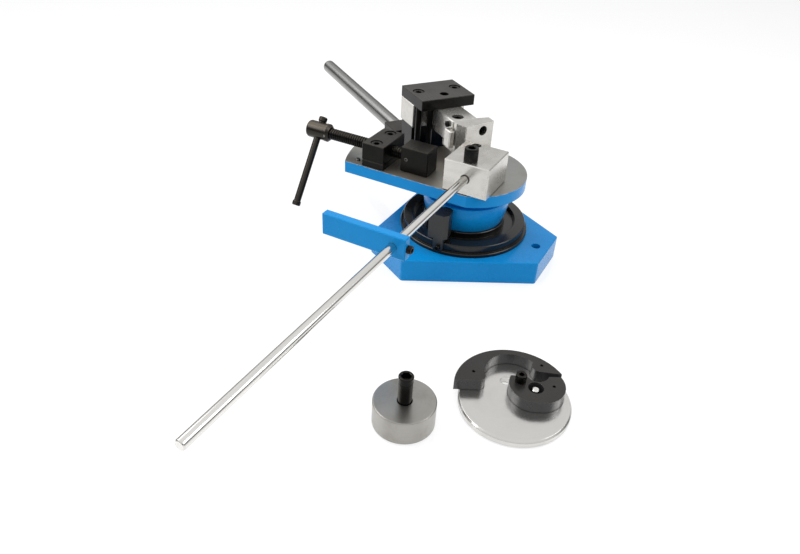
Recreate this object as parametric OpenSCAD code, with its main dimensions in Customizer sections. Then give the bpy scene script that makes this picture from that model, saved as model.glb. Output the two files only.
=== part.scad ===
// Universal bar bender: a bench-mounted base with a vise table, a swinging bending arm,
// a length stop on a long rod, and two loose bending tools of the same set.
// Millimetres, +Z up. The origin is on the underside of the base, on the pivot axis.
// +X runs along the vise screw towards the anvil block, +Y towards the back.

/* [Base] */
// Pivot axis to each long side of the base plate
base_long = 111; // [100:1:120]
// Pivot axis to each cut corner of the base plate
base_cut = 143; // [135:1:155]
// Thickness of the base plate
base_h = 36; // [24:1:50]
// Rounding of the base plate's upright edges
base_round = 5; // [2:0.5:10]
// Pivot axis to each bench bolt hole
base_hole_pcr = 123; // [115:1:128]
// Bench bolt hole diameter
base_hole_d = 14; // [10:0.5:16]

/* [Stop ring and column] */
// Radius of the ring's foot flange
ring_foot_r = 100.5; // [97:0.5:104]
// Radius of the ring's outer wall
ring_r = 96; // [92:0.5:97]
// Height of the ring above the base plate
ring_h = 18; // [14:0.5:24]
// Radius of the column at its foot
column_foot_r = 60; // [54:0.5:61]
// Radius of the column under the arm
column_top_r = 67; // [62:0.5:72]
// Height of the column's bowl above the base plate
column_h = 62; // [55:0.5:75]
// Radius of the neck that the arm turns on
neck_r = 32; // [28:0.5:36]

/* [Table] */
// Thickness of the table
table_t = 18; // [14:0.5:24]
// Radius of the table's round end
table_r = 88; // [84:0.5:90]
// Pivot axis to the table's far end
table_reach = 190; // [180:1:200]
// Pivot axis to the table's straight front edge
table_front = 82; // [81:0.5:86]
// Pivot axis to the back edge of the table's tongue
table_back = -5; // [-10:0.5:0]

/* [Anvil block and length stop] */
// Width of the anvil block along the vise axis
anvil_w = 69; // [60:1:76]
// Depth of the anvil block
anvil_d = 75; // [66:0.5:75]
// Height of the anvil block
anvil_h = 48; // [44:1:60]
// Left face of the anvil block, which work is clamped against
anvil_x = -8; // [-12:0.5:-4]
// Diameter of the stop rod
rod_d = 12; // [8:0.5:16]
// Stop rod length outside the anvil block
rod_out = 559; // [300:1:700]
// Length of the stop bar
bar_len = 117; // [90:1:140]
// Thickness of the stop bar
bar_t = 12; // [10:0.5:18]
// Height of the stop bar
bar_h = 30; // [24:1:40]
// Distance from the anvil block to the stop bar
bar_gap = 196; // [60:1:400]

/* [Vise] */
// Distance from the pivot axis to the vise axis
vise_y = -47; // [-50:0.5:-44]
// Height of the vise axis over the table
vise_z = 20; // [18:0.5:24]
// Outside diameter of the vise screw
screw_d = 18; // [14:0.5:20]
// Length of the nut block along the vise axis
nut_len = 37; // [32:1:44]
// Width of the nut block
nut_w = 65; // [58:1:66]
// Right face of the nut block
nut_x = -106; // [-112:0.5:-104]
// Height of the nut block's pad
pad_h = 10; // [6:0.5:10.5]
// Height of the nut block over the table
nut_h = 37; // [33:1:44]
// Length of the sliding jaw
jaw_len = 45; // [36:1:50]
// Width of the sliding jaw
jaw_w = 33; // [26:1:40]
// Height of the sliding jaw
jaw_h = 39; // [34:1:46]
// Right face of the sliding jaw
jaw_x = -41; // [-44:0.5:-30]
// Diameter of the screw's T-head
head_d = 27; // [24:0.5:30]
// Length of the screw's T-head
head_len = 40; // [30:1:50]
// Diameter of the tommy bar
tommy_d = 11; // [8:0.5:12]
// Length of the tommy bar
tommy_len = 146; // [100:1:180]
// Lean of the tommy bar from upright
tommy_lean = 35; // [0:1:80]

/* [Bending arm] */
// Angle of the arm from the vise axis
arm_angle = 144; // [135:1:150]
// Height of the arm bar's underside over the table
arm_gap = 30; // [24:1:40]
// Height of the arm bar
arm_h = 37; // [30:1:44]
// Thickness of the top plate
plate_t = 17; // [12:0.5:24]
// Length of the top plate across the arm
plate_w = 92; // [86:1:100]
// Depth of the top plate along the arm
plate_d = 73; // [66:1:76]
// Pivot axis to the outer edge of the arm and top plate
arm_reach = 152; // [148:1:160]
// Diameter of the two pillars
pillar_d = 9.2; // [7:0.1:9.4]
// Diameter of the lever handle
lever_d = 26; // [20:0.5:30]
// Pivot axis to the tip of the lever handle
lever_reach = 602; // [420:1:700]

/* [Loose tools] */
// Diameter of the mandrel
mandrel_d = 74; // [50:1:90]
// Height of the mandrel
mandrel_h = 33; // [24:1:45]
// Diameter of the scroll former's disc
disc_d = 136; // [130:1:150]
// Thickness of the scroll former's disc
disc_t = 9; // [8:0.5:14]
// Height of the scroll formers
former_h = 16; // [12:0.5:24]

/* [Fits] */
// Radial running clearance of turning and sliding fits
run = 0.08; // [0.03:0.01:0.1]
// Clearance between pieces that pass each other
gap = 0.3; // [0.3:0.05:0.6]
// Radial clearance round fixed fasteners and spigots
seat = 0.1; // [0.05:0.05:0.3]

/* [Hidden] */
$fn = 96;
chamfer = 1.2;
cut = 1;
far = 400;

// Levels
arm_plate_t = 15.4;
table_z0 = base_h + column_h + arm_plate_t + 2 * gap;
table_z = table_z0 + table_t;
arm_z0 = base_h + column_h + gap;
arm_z1 = arm_z0 + arm_plate_t;
bar_z0 = table_z + arm_gap;
bar_z1 = bar_z0 + arm_h;
plate_z1 = bar_z1 + plate_t;

// Hidden fasteners: shank, head, depth of the head's seat and grip in the second piece
bolt_d = 10;
bolt_head_d = 16;
bolt_head_h = 10;
bolt_sink = 11;
bolt_grip = 20;
bolt_end = 2;
wide_head_d = 18;
flat_d = 8;
flat_head_d = 16;
flat_grip = 10;
peg_d = 6;

// Base, ring and column
ring_foot_h = 5.5;
spigot_step = 4;
ring_z = base_h + ring_h;
ring_bore_r = column_foot_r - spigot_step + seat;
hub_r = column_foot_r + 4;
hub_top_z = ring_z + 3;
dish_z = base_h + 11;
rim_in_r = ring_r - 16;
column_bolt_pcr = 40;
table_screw_pcr = 21;
bolt_count = 4;

// Anvil and length stop
anvil_y = -table_front + 1;
anvil_top = table_z + anvil_h;
rod_x = anvil_x + anvil_w / 2;
rod_up = 25;
rod_z = table_z + rod_up;
rod_tip_y = anvil_y - rod_out;
rod_in = 51;
clamp_y = anvil_y + 14;
clamp_d = 10;
clamp_head_d = 20;
clamp_head_h = 20;
tool_hole_d = 14;
tool_hole_depth = 25;
tool_hole = [anvil_x + 21, anvil_y + anvil_d - 2 - tool_hole_d / 2];
anvil_bolt_at = [[anvil_x + 15, anvil_y + 18], [anvil_x + anvil_w - 14, anvil_y + anvil_d - 20]];
bar_y = anvil_y - bar_gap;
bar_end_x = rod_x + rod_d / 2 + 11.5;
bar_screw_d = 6;
bar_screw_head_d = 10.5;
bar_screw_head_h = 6;

// Vise
axis_z = table_z + vise_z;
nut_y = vise_y - nut_w / 2;
nut_bolt_in = 12;
nut_bolt_x = nut_x - nut_len / 2;
nut_bolt_y = 21;
tip_d = 12;
tip_len = 18;
tip_gap = 1;
jaw_left = jaw_x - jaw_len;
screw_out = 133;
head_right = jaw_left - screw_out;
head_left = head_right - head_len;
collar_len = 9;
collar_d = 28;
spigot_d = 13;
spigot_len = 12;
head_pin_d = 4;
tommy_x = head_left + 18;
knob_d = 13.5;
knob_h = 8;
tommy_stub = head_d / 2 + gap + knob_h;
dowel_at = [-157, -67.5];
dowel_d = 7;
dowel_in = 10;
dowel_up = 2.5;

// Angle stop, placed by its angle round the ring
stop_angle = -88;
stop_r = 13;
stop_pc = 88;
stop_top = base_h + column_h + 2;
stop_z = base_h + ring_foot_h + 0.5;
stop_in_r = rim_in_r - 7.3;
stop_lip_r = rim_in_r - 3.3;
stop_lip_z = dish_z + 2;
stop_head_z = ring_z + 6;
stop_out = stop_pc + stop_r;
stop_nose = column_top_r + 4.5;
stop_left = 18;
stop_right = 4.5;
stop_plan = [[stop_out, -stop_left], [stop_out, stop_right], [stop_out - 7, 11], [stop_nose + 4.5, 9],
             [stop_nose, 3], [stop_nose, -5], [stop_out - 17, -stop_left]];
stop_leg = [-9, 6.5];
stop_leg_d = 11;
stop_lip_w = 8;
stop_lip_d = 9;
stop_screw_d = 5;
stop_screw_head_d = 8.5;
stop_screw_z = ring_z - 7;

// Arm pieces in the arm's own axes: x outwards from the pivot, y across
hub_arm_r = 60;
arm_in = 31;
arm_right = -24;
arm_left = 18;
upright_y = [-40, 44];
pillar_clear = 1.3;
pillar_y = [40, 25];
pillar_step = 9.5;
pillar_x = sqrt(pow(table_r + pillar_clear + pillar_d / 2, 2) - pow(pillar_y[1], 2));
pillars = [[pillar_x + pillar_step, pillar_y[0]], [pillar_x, pillar_y[1]]];
arm_shoulder = [60, 12];
pillar_in = 8;
cross_x = pillars[0].x + pillar_d / 2 + 2.4;
upright_x = cross_x + 5;
head_z = table_z + 18;
head_plan = [[arm_in, arm_left - 1.5], [arm_in - 9.5, arm_left - 1.5], [5, 9.5], [12, -42.5],
             [arm_in - 3, -42.5], [arm_in, arm_right]];
head_foot = 30;
head_hole_d = 15;
head_hole_depth = 16;
head_hole_y = -22.4;
head_screw = [45, 2];
finger_x = [22, 39];
finger_t = 9;
finger_z = [bar_z0 - 2, bar_z1 - 12];
finger_screw = [44.5, bar_z1 - 9];
finger_screw_d = 5;
finger_screw_head_d = 9;
finger_screw_in = 5;
plate_screw_x = arm_reach - 32;
plate_screw_y = 32;
plate_hole = [arm_reach - 55, -1];
plate_hole_d = 14;
socket_x0 = 150;
socket_step = 200;
socket_x1 = 243;
socket_y = [-24, 32];
socket_z0 = arm_z0 - 16;
socket_z1 = arm_z1 + 3;
lever_z = arm_z0 + 2;
lever_y = 4;
lever_spigot_d = 18;
lever_spigot_len = 34;
socket_screw_x = [168, 187];

// Loose tools
mandrel_at = [105, -390];
post_d = 18;
post_up = 38;
post_in = 28;
disc_at = [206.8, -298.8];
disc_turn = 28;
former_top = disc_t + former_h;
disc_hole = [-7.4, 31];
disc_hole_d = 13.5;
outer_c = [-4.5, 0.5];
outer_r = 70;
inner_c = [-1, 28];
inner_r = 34.3;
left_nose = [-43.8, 22];
left_nose_r = 9.2;
right_nose = [34.5, 42.5];
right_nose_r = 10;
snail_c = [[23, 9.5], [29, 10.5]];
snail_r = [30.5, 31.5];
snail_top = 24;
notch_c = [29, 29];
notch_r = 14.5;
snail_hole = [24, 4];
snail_hole_d = 19;
former_bolt = [6.8, 15];
former_bolt_d = 8;
former_bolt_head_d = 13.5;
former_bolt_head_h = 11;
former_pin_d = 9;
small_d = 4;
outer_screws = [[-48.8, 28.6], [37, 44]];
snail_screw = [46.3, 7.5];

blue = [0.08, 0.45, 0.78];
black = [0.12, 0.12, 0.115];
steel = [0.72, 0.71, 0.69];
ground = [0.56, 0.52, 0.47];

// Corner where two sides meet, from their normals' angles and distances to the axis
function corner(a1, d1, a2, d2) =
    let (det = sin(a2 - a1))
    [(d1 * sin(a2) - d2 * sin(a1)) / det, (d2 * cos(a1) - d1 * cos(a2)) / det];

// Corner rounded into short steps
function rounded_corner(p, before, after, r, steps = 5) =
    let (u = (before - p) / norm(before - p), v = (after - p) / norm(after - p))
    let (half = acos(u * v) / 2, centre = p + (u + v) / norm(u + v) * r / sin(half))
    let (a0 = p + u * r / tan(half) - centre, a1 = p + v * r / tan(half) - centre)
    [for (i = [0 : steps])
        let (m = a0 * (1 - i / steps) + a1 * i / steps) centre + m / norm(m) * r];

// Outline with every corner rounded
function rounded_outline(pts, r) =
    [for (i = [0 : len(pts) - 1])
        each rounded_corner(pts[i], pts[(i + len(pts) - 1) % len(pts)], pts[(i + 1) % len(pts)], r)];

// Rectangle with chamfered corners
function chamfered_rect(w, d, c) =
    [[c, 0], [w - c, 0], [w, c], [w, d - c], [w - c, d], [c, d], [0, d - c], [0, c]];

// Block between two corners with all its edges chamfered
module block(low, high, c = chamfer) {
    s = high - low;
    translate(low)
        intersection() {
            linear_extrude(s.z) polygon(chamfered_rect(s.x, s.y, c));
            translate([0, s.y, 0]) rotate([90, 0, 0])
                linear_extrude(s.y) polygon(chamfered_rect(s.x, s.z, c));
            rotate([90, 0, 90]) linear_extrude(s.x) polygon(chamfered_rect(s.y, s.z, c));
        }
}

// Round bar standing on z = 0 with chamfered ends
module pin(r, h, c = 0.8) {
    rotate_extrude() polygon([[0, 0], [r - c, 0], [r, c], [r, h - c], [r - c, h], [0, h]]);
}

// Socket head screw hanging from z = 0 with its head above
module cap_screw(d, length, head_d, head_h, key = 0.45) {
    difference() {
        union() {
            translate([0, 0, -length]) cylinder(d = d, h = length + cut);
            pin(head_d / 2, head_h);
        }
        translate([0, 0, head_h * 0.45]) cylinder(d = head_d * key * 2 / sqrt(3), h = head_h, $fn = 6);
    }
}

// Countersunk socket screw with its flat top at z = 0
module flat_screw(d, length, head_d) {
    head_h = (head_d - d) / 2;
    difference() {
        rotate_extrude()
            polygon([[0, -length], [d / 2, -length], [d / 2, -head_h], [head_d / 2, 0], [0, 0]]);
        translate([0, 0, -head_h]) cylinder(d = d * 0.6, h = head_h + cut, $fn = 6);
    }
}

// Seat for a countersunk screw
module flat_screw_hole(d, length, head_d) {
    head_h = (head_d - d) / 2;
    rotate_extrude()
        polygon([[0, -length - cut], [d / 2 + seat, -length - cut], [d / 2 + seat, -head_h],
                 [head_d / 2 + seat, 0], [head_d / 2 + seat, cut], [0, cut]]);
}

// Seat for a socket head screw: clearance hole below z = 0, counterbore above
module cap_screw_hole(d, length, head_d, depth) {
    translate([0, 0, -length - cut]) cylinder(d = d + 2 * seat, h = length + 2 * cut);
    cylinder(d = head_d + 4 * seat, h = depth + cut);
}

module at_arm() rotate([0, 0, arm_angle]) children();

module around(count, radius, first = 0) {
    for (i = [0 : count - 1])
        rotate([0, 0, first + i * 360 / count]) translate([radius, 0, 0]) children();
}

// Base, ring and column

module base_plate() {
    sides = [for (i = [0 : 5]) [-60 + 60 * i, i % 2 == 0 ? base_long : base_cut]];
    corners = [for (i = [0 : 5])
        let (a = sides[i], b = sides[(i + 1) % 6]) corner(a[0], a[1], b[0], b[1])];
    color(blue)
        difference() {
            linear_extrude(base_h) polygon(rounded_outline(corners, base_round));
            around(3, base_hole_pcr) translate([0, 0, -cut]) cylinder(d = base_hole_d, h = base_h + 2 * cut);
            around(bolt_count, column_bolt_pcr, 45)
                rotate([180, 0, 0]) translate([0, 0, -bolt_sink])
                    cap_screw_hole(bolt_d, base_h - bolt_sink, bolt_head_d, bolt_sink);
            for (s = sides)
                rotate([0, 0, s[0]]) translate([s[1], 0, base_h]) rotate([0, 45, 0])
                    cube([chamfer * sqrt(2), far, chamfer * sqrt(2)], center = true);
        }
}

// Ring with a foot flange, an outer wall, a raised rim and a dished inside
function ring_section() =
    [[ring_bore_r, base_h], [ring_foot_r, base_h], [ring_foot_r, base_h + ring_foot_h - 1],
     [ring_foot_r - 1, base_h + ring_foot_h], [ring_r, base_h + ring_foot_h],
     [ring_r, ring_z - 2], [ring_r - 1, ring_z - 1], [rim_in_r + 3, ring_z],
     [rim_in_r, ring_z], [rim_in_r - 3, dish_z], [hub_r, dish_z], [hub_r, hub_top_z - 1],
     [hub_r - 1, hub_top_z], [ring_bore_r, hub_top_z]];

module stop_ring() {
    color(black) rotate_extrude($fn = 180) polygon(ring_section());
}

module column() {
    bowl_z = hub_top_z;
    top = base_h + column_h;
    rise = top - 5 - bowl_z;
    steps = 12;
    flare = [for (i = [0 : steps])
        [column_foot_r + (column_top_r - column_foot_r) * sin(90 * i / steps), bowl_z + rise * i / steps]];
    color(blue)
        difference() {
            rotate_extrude($fn = 180)
                polygon(concat([[0, base_h], [column_foot_r - spigot_step, base_h],
                                [column_foot_r - spigot_step, bowl_z]], flare,
                               [[column_top_r, top - 1], [column_top_r - 1, top], [neck_r, top],
                                [neck_r, table_z0], [0, table_z0]]));
            around(bolt_count, column_bolt_pcr, 45)
                translate([0, 0, base_h - cut])
                    cylinder(d = bolt_d + 2 * seat, h = bolt_grip + bolt_end + cut);
            around(bolt_count, table_screw_pcr, 45)
                translate([0, 0, table_z0 - flat_grip - bolt_end])
                    cylinder(d = flat_d + 2 * seat, h = flat_grip + bolt_end + cut);
        }
}

module column_bolts() {
    color(black)
        around(bolt_count, column_bolt_pcr, 45)
            translate([0, 0, bolt_sink]) rotate([180, 0, 0])
                cap_screw(bolt_d, base_h - bolt_sink + bolt_grip, bolt_head_d, bolt_head_h);
}

// Table and anvil

module table() {
    fillet_r = 20;
    fx = -sqrt(pow(table_r + fillet_r, 2) - pow(table_back + fillet_r, 2));
    touch = [fx, table_back + fillet_r] * table_r / (table_r + fillet_r);
    color(ground)
        translate([0, 0, table_z0])
            difference() {
                intersection() {
                    translate([-far, -table_front, 0]) cube([2 * far, 2 * far, table_t]);
                    union() {
                        cylinder(r = table_r, h = table_t, $fn = 180);
                        intersection() {
                            cylinder(r = table_reach, h = table_t, $fn = 180);
                            translate([-far, -far, 0]) cube([far, far + table_back, table_t]);
                        }
                        difference() {
                            linear_extrude(table_t)
                                polygon([[fx, table_back], touch, [-table_r / 2, table_back + 1],
                                         [-table_r / 2, table_back - 1], [fx, table_back - 1]]);
                            translate([fx, table_back + fillet_r, -cut])
                                cylinder(r = fillet_r, h = table_t + 2 * cut);
                        }
                    }
                }
                around(bolt_count, table_screw_pcr, 45)
                    translate([0, 0, table_t]) flat_screw_hole(flat_d, table_t, flat_head_d);
                for (p = anvil_bolt_at)
                    translate([p.x, p.y, bolt_sink]) rotate([180, 0, 0])
                        cap_screw_hole(bolt_d, table_t - bolt_sink, bolt_head_d, bolt_sink);
                for (s = [-1, 1])
                    translate([nut_bolt_x, vise_y + s * nut_bolt_y, table_t - nut_bolt_in - bolt_end])
                        cylinder(d = bolt_d + 2 * seat, h = nut_bolt_in + bolt_end + cut);
                translate([dowel_at.x, dowel_at.y, table_t - dowel_in])
                    cylinder(d = dowel_d + 2 * seat, h = dowel_in + cut);
            }
}

module table_screws() {
    color(black)
        around(bolt_count, table_screw_pcr, 45)
            translate([0, 0, table_z]) flat_screw(flat_d, table_t + flat_grip, flat_head_d);
}

module table_dowel() {
    color(steel)
        translate([dowel_at.x, dowel_at.y, table_z - dowel_in]) pin(dowel_d / 2, dowel_in + dowel_up, 0.6);
}

module anvil_block() {
    color(steel)
        difference() {
            block([anvil_x, anvil_y, table_z], [anvil_x + anvil_w, anvil_y + anvil_d, anvil_top], 1.5);
            translate([rod_x, anvil_y - cut, rod_z]) rotate([-90, 0, 0])
                cylinder(r = rod_d / 2 + run, h = anvil_d + 2 * cut);
            translate([rod_x, clamp_y, rod_z]) cylinder(r = clamp_d / 2 + run, h = anvil_h);
            translate([tool_hole.x, tool_hole.y, anvil_top - tool_hole_depth])
                cylinder(d = tool_hole_d, h = tool_hole_depth + cut);
            for (p = anvil_bolt_at)
                translate([p.x, p.y, table_z - cut])
                    cylinder(d = bolt_d + 2 * seat, h = bolt_grip + bolt_end + cut);
        }
}

module anvil_bolts() {
    color(black)
        for (p = anvil_bolt_at)
            translate([p.x, p.y, table_z0 + bolt_sink]) rotate([180, 0, 0])
                cap_screw(bolt_d, table_t - bolt_sink + bolt_grip, bolt_head_d, bolt_head_h);
}

module rod_clamp_screw() {
    color(black)
        translate([rod_x, clamp_y, anvil_top + gap])
            cap_screw(clamp_d, anvil_top - rod_z - rod_d / 2, clamp_head_d, clamp_head_h, 0.5);
}

// Length stop

module stop_rod() {
    color(steel)
        translate([rod_x, rod_tip_y, rod_z]) rotate([-90, 0, 0]) pin(rod_d / 2, rod_out + rod_in, 1);
}

module stop_bar() {
    color(blue)
        difference() {
            block([bar_end_x - bar_len, bar_y - bar_t, rod_z - bar_h / 2],
                  [bar_end_x, bar_y, rod_z + bar_h / 2]);
            translate([rod_x, bar_y - bar_t - cut, rod_z]) rotate([-90, 0, 0])
                cylinder(r = rod_d / 2 + run, h = bar_t + 2 * cut);
            translate([rod_x, bar_y - bar_t / 2, rod_z]) rotate([0, 90, 0])
                cylinder(r = bar_screw_d / 2 + run, h = far);
        }
}

module stop_bar_screw() {
    color(black)
        translate([bar_end_x + gap, bar_y - bar_t / 2, rod_z]) rotate([0, 90, 0])
            cap_screw(bar_screw_d, bar_end_x - rod_x - rod_d / 2, bar_screw_head_d, bar_screw_head_h);
}

// Vise

module nut_pad() {
    color(black)
        difference() {
            block([nut_x - nut_len, nut_y, table_z], [nut_x, nut_y + nut_w, table_z + pad_h], 0.8);
            for (s = [-1, 1])
                translate([nut_bolt_x, vise_y + s * nut_bolt_y, table_z - cut])
                    cylinder(d = bolt_d + 2 * seat, h = pad_h + 2 * cut);
        }
}

module nut_block() {
    color(black)
        difference() {
            block([nut_x - nut_len, nut_y, table_z + pad_h], [nut_x, nut_y + nut_w, table_z + nut_h], 0.8);
            translate([nut_x - nut_len - cut, vise_y, axis_z]) rotate([0, 90, 0])
                cylinder(r = screw_d / 2 + run, h = nut_len + 2 * cut);
            for (s = [-1, 1])
                translate([nut_bolt_x, vise_y + s * nut_bolt_y, table_z + nut_h - bolt_sink])
                    cap_screw_hole(bolt_d, nut_h, wide_head_d, bolt_sink);
        }
}

module nut_bolts() {
    color(black)
        for (s = [-1, 1])
            translate([nut_bolt_x, vise_y + s * nut_bolt_y, table_z + nut_h - bolt_sink])
                cap_screw(bolt_d, nut_h - bolt_sink + nut_bolt_in, wide_head_d, bolt_head_h);
}

module vise_jaw() {
    color(black)
        difference() {
            block([jaw_left, vise_y - jaw_w / 2, table_z + gap],
                  [jaw_x, vise_y + jaw_w / 2, table_z + gap + jaw_h]);
            translate([jaw_left - cut, vise_y, axis_z]) rotate([0, 90, 0])
                cylinder(r = tip_d / 2 + run, h = tip_len + tip_gap + cut);
            translate([jaw_left + tip_len / 2, vise_y, axis_z]) rotate([90, 0, 0])
                cylinder(d = peg_d + 2 * seat, h = jaw_w);
        }
}

module jaw_grub_screw() {
    inset = 0.5;
    length = jaw_w / 2 - tip_d / 2 - gap - inset;
    color(steel)
        translate([jaw_left + tip_len / 2, vise_y - jaw_w / 2 + inset, axis_z]) rotate([-90, 0, 0])
            difference() {
                pin(peg_d / 2, length, 0.4);
                translate([0, 0, -cut]) cylinder(d = peg_d * 0.6, h = peg_d / 2 + cut, $fn = 6);
            }
}

module vise_screw() {
    color(black)
        translate([head_right - spigot_len, vise_y, axis_z]) rotate([0, 90, 0])
            rotate_extrude()
                let (shank = spigot_len + jaw_left - gap - head_right, tip = shank + tip_len)
                polygon([[0, 0], [spigot_d / 2, 0], [spigot_d / 2, spigot_len],
                         [screw_d / 2 - 1.5, spigot_len], [screw_d / 2, spigot_len + 1.5],
                         [screw_d / 2, shank - 1.5], [screw_d / 2 - 1.5, shank],
                         [tip_d / 2, shank], [tip_d / 2, tip - 1], [tip_d / 2 - 1, tip], [0, tip]]);
}

module screw_head() {
    big = head_len - collar_len;
    color(black)
        difference() {
            translate([head_left, vise_y, axis_z]) rotate([0, 90, 0])
                rotate_extrude()
                    polygon([[0, 0], [head_d / 2 - 2.5, 0], [head_d / 2 - 0.7, 0.7], [head_d / 2, 2.5],
                             [head_d / 2, big], [collar_d / 2 - 0.5, big], [collar_d / 2, big + 0.5],
                             [collar_d / 2, head_len - 4], [collar_d / 2 - 4, head_len], [0, head_len]]);
            translate([head_right - spigot_len - tip_gap, vise_y, axis_z]) rotate([0, 90, 0])
                cylinder(d = spigot_d + 2 * seat, h = spigot_len + tip_gap + cut);
            translate([tommy_x, vise_y, axis_z]) rotate([-tommy_lean, 0, 0])
                cylinder(r = tommy_d / 2 + run, h = 2 * head_d, center = true);
            translate([head_right - collar_len / 2, vise_y - spigot_d / 2 - seat, axis_z]) rotate([90, 0, 0])
                cylinder(d = head_pin_d + 2 * seat, h = head_d);
        }
}

module screw_head_pin() {
    color(steel)
        translate([head_right - collar_len / 2, vise_y - collar_d / 2, axis_z]) rotate([-90, 0, 0])
            pin(head_pin_d / 2, (collar_d - spigot_d) / 2 - seat, 0.4);
}

module tommy_bar() {
    color(black)
        translate([tommy_x, vise_y, axis_z]) rotate([-tommy_lean, 0, 0])
            translate([0, 0, tommy_stub - tommy_len + 1]) pin(tommy_d / 2, tommy_len - 2, 1.2);
}

module tommy_knobs() {
    color(black)
        translate([tommy_x, vise_y, axis_z]) rotate([-tommy_lean, 0, 0])
            for (z = [tommy_stub - knob_h, tommy_stub - tommy_len])
                translate([0, 0, z])
                    difference() {
                        pin(knob_d / 2, knob_h, 1.2);
                        translate([0, 0, z > 0 ? -cut : 1])
                            cylinder(d = tommy_d + 2 * seat, h = knob_h - 1 + cut);
                    }
}

// Angle stop on the ring

// Post with a flat that faces the arm, and a hook over the ring's rim
// Head over the ring, with a leg outside the ring and a lip inside it
module angle_stop() {
    color(black)
        rotate([0, 0, stop_angle])
            difference() {
                union() {
                    translate([0, 0, stop_head_z]) linear_extrude(stop_top - stop_head_z) polygon(stop_plan);
                    translate([0, 0, stop_z]) linear_extrude(stop_head_z - stop_z + cut)
                        polygon([[stop_out - stop_leg_d, stop_leg[0]], [stop_out, stop_leg[0]],
                                 [stop_out, stop_right], [stop_out - 2.5, stop_leg[1]],
                                 [stop_out - stop_leg_d, stop_leg[1]]]);
                    translate([stop_in_r, -stop_lip_w / 2, dish_z])
                        cube([stop_lip_d, stop_lip_w, stop_head_z - dish_z + cut]);
                }
                rotate_extrude($fn = 180)
                    polygon([[0, 0], [ring_foot_r + gap, 0], [ring_foot_r + gap, stop_z - gap],
                             [ring_r + gap, stop_z - gap], [ring_r + gap, ring_z + gap],
                             [stop_lip_r, ring_z + gap], [stop_lip_r, stop_lip_z], [0, stop_lip_z]]);
                translate([stop_pc, 0, stop_screw_z]) rotate([0, 90, 0])
                    cylinder(r = stop_screw_d / 2 + run, h = far);
            }
}

module angle_stop_screw() {
    length = stop_pc + stop_r - ring_r - gap;
    color(black)
        rotate([0, 0, stop_angle])
            translate([stop_pc + stop_r + gap, 0, stop_screw_z]) rotate([0, 90, 0])
                cap_screw(stop_screw_d, length, stop_screw_head_d, stop_screw_d);
}

// Bending arm

module arm_plate() {
    color(blue)
        at_arm()
            translate([0, 0, arm_z0])
                difference() {
                    union() {
                        cylinder(r = hub_arm_r, h = arm_plate_t, $fn = 180);
                        linear_extrude(arm_plate_t)
                            polygon([[0, -hub_arm_r], [socket_step, socket_y[0]], [socket_step, socket_y[1]],
                                     [arm_reach - 20, pillars[0].y + arm_shoulder.y],
                                     [arm_shoulder.x, pillars[0].y + arm_shoulder.y], [0, hub_arm_r]]);
                    }
                    translate([0, 0, -cut]) cylinder(r = neck_r + run, h = arm_plate_t + 2 * cut);
                    for (p = pillars)
                        translate([p.x, p.y, arm_plate_t - pillar_in])
                            cylinder(d = pillar_d + 2 * seat, h = pillar_in + cut);
                    for (x = socket_screw_x)
                        translate([x, lever_y, arm_plate_t])
                            flat_screw_hole(flat_d, arm_plate_t, flat_head_d);
                }
}

module arm_upright() {
    color(black)
        at_arm() block([upright_x, upright_y[0], arm_z1], [arm_reach - 2, upright_y[1], bar_z0]);
}

module arm_bar() {
    color(steel)
        at_arm()
            difference() {
                union() {
                    block([arm_in, arm_right, bar_z0], [arm_reach, arm_left, bar_z1], 1);
                    block([cross_x, -plate_w / 2, bar_z0], [arm_reach, plate_w / 2, bar_z1], 1);
                }
                translate([head_screw.x, head_screw.y, bar_z1 - bolt_sink])
                    cap_screw_hole(bolt_d, arm_h, wide_head_d, bolt_sink);
                for (s = [-1, 1])
                    translate([plate_screw_x, s * plate_screw_y, bar_z1 - bolt_grip])
                        cylinder(d = bolt_d + 2 * seat, h = bolt_grip + cut);
                translate([finger_screw.x, arm_left - finger_screw_in - cut, finger_screw.y])
                    rotate([-90, 0, 0])
                        cylinder(d = finger_screw_d + 2 * seat, h = finger_screw_in + 2 * cut);
            }
}

module arm_pillars() {
    color(black)
        at_arm()
            for (p = pillars)
                translate([p.x, p.y, arm_z1 - pillar_in])
                    cylinder(d = pillar_d, h = bar_z1 - arm_z1 + pillar_in);
}

module top_plate() {
    color(black)
        at_arm()
            difference() {
                block([arm_reach - plate_d, -plate_w / 2, bar_z1], [arm_reach, plate_w / 2, plate_z1], 0.8);
                for (s = [-1, 1])
                    translate([plate_screw_x, s * plate_screw_y, plate_z1 - bolt_sink])
                        cap_screw_hole(bolt_d, plate_t, wide_head_d, bolt_sink);
                translate([plate_hole.x, plate_hole.y, bar_z1 - cut])
                    cylinder(d = plate_hole_d, h = plate_t + 2 * cut);
            }
}

module top_plate_screws() {
    color(black)
        at_arm()
            for (s = [-1, 1])
                translate([plate_screw_x, s * plate_screw_y, plate_z1 - bolt_sink])
                    cap_screw(bolt_d, plate_t - bolt_sink + bolt_grip - bolt_end, wide_head_d, bolt_head_h);
}

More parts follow.
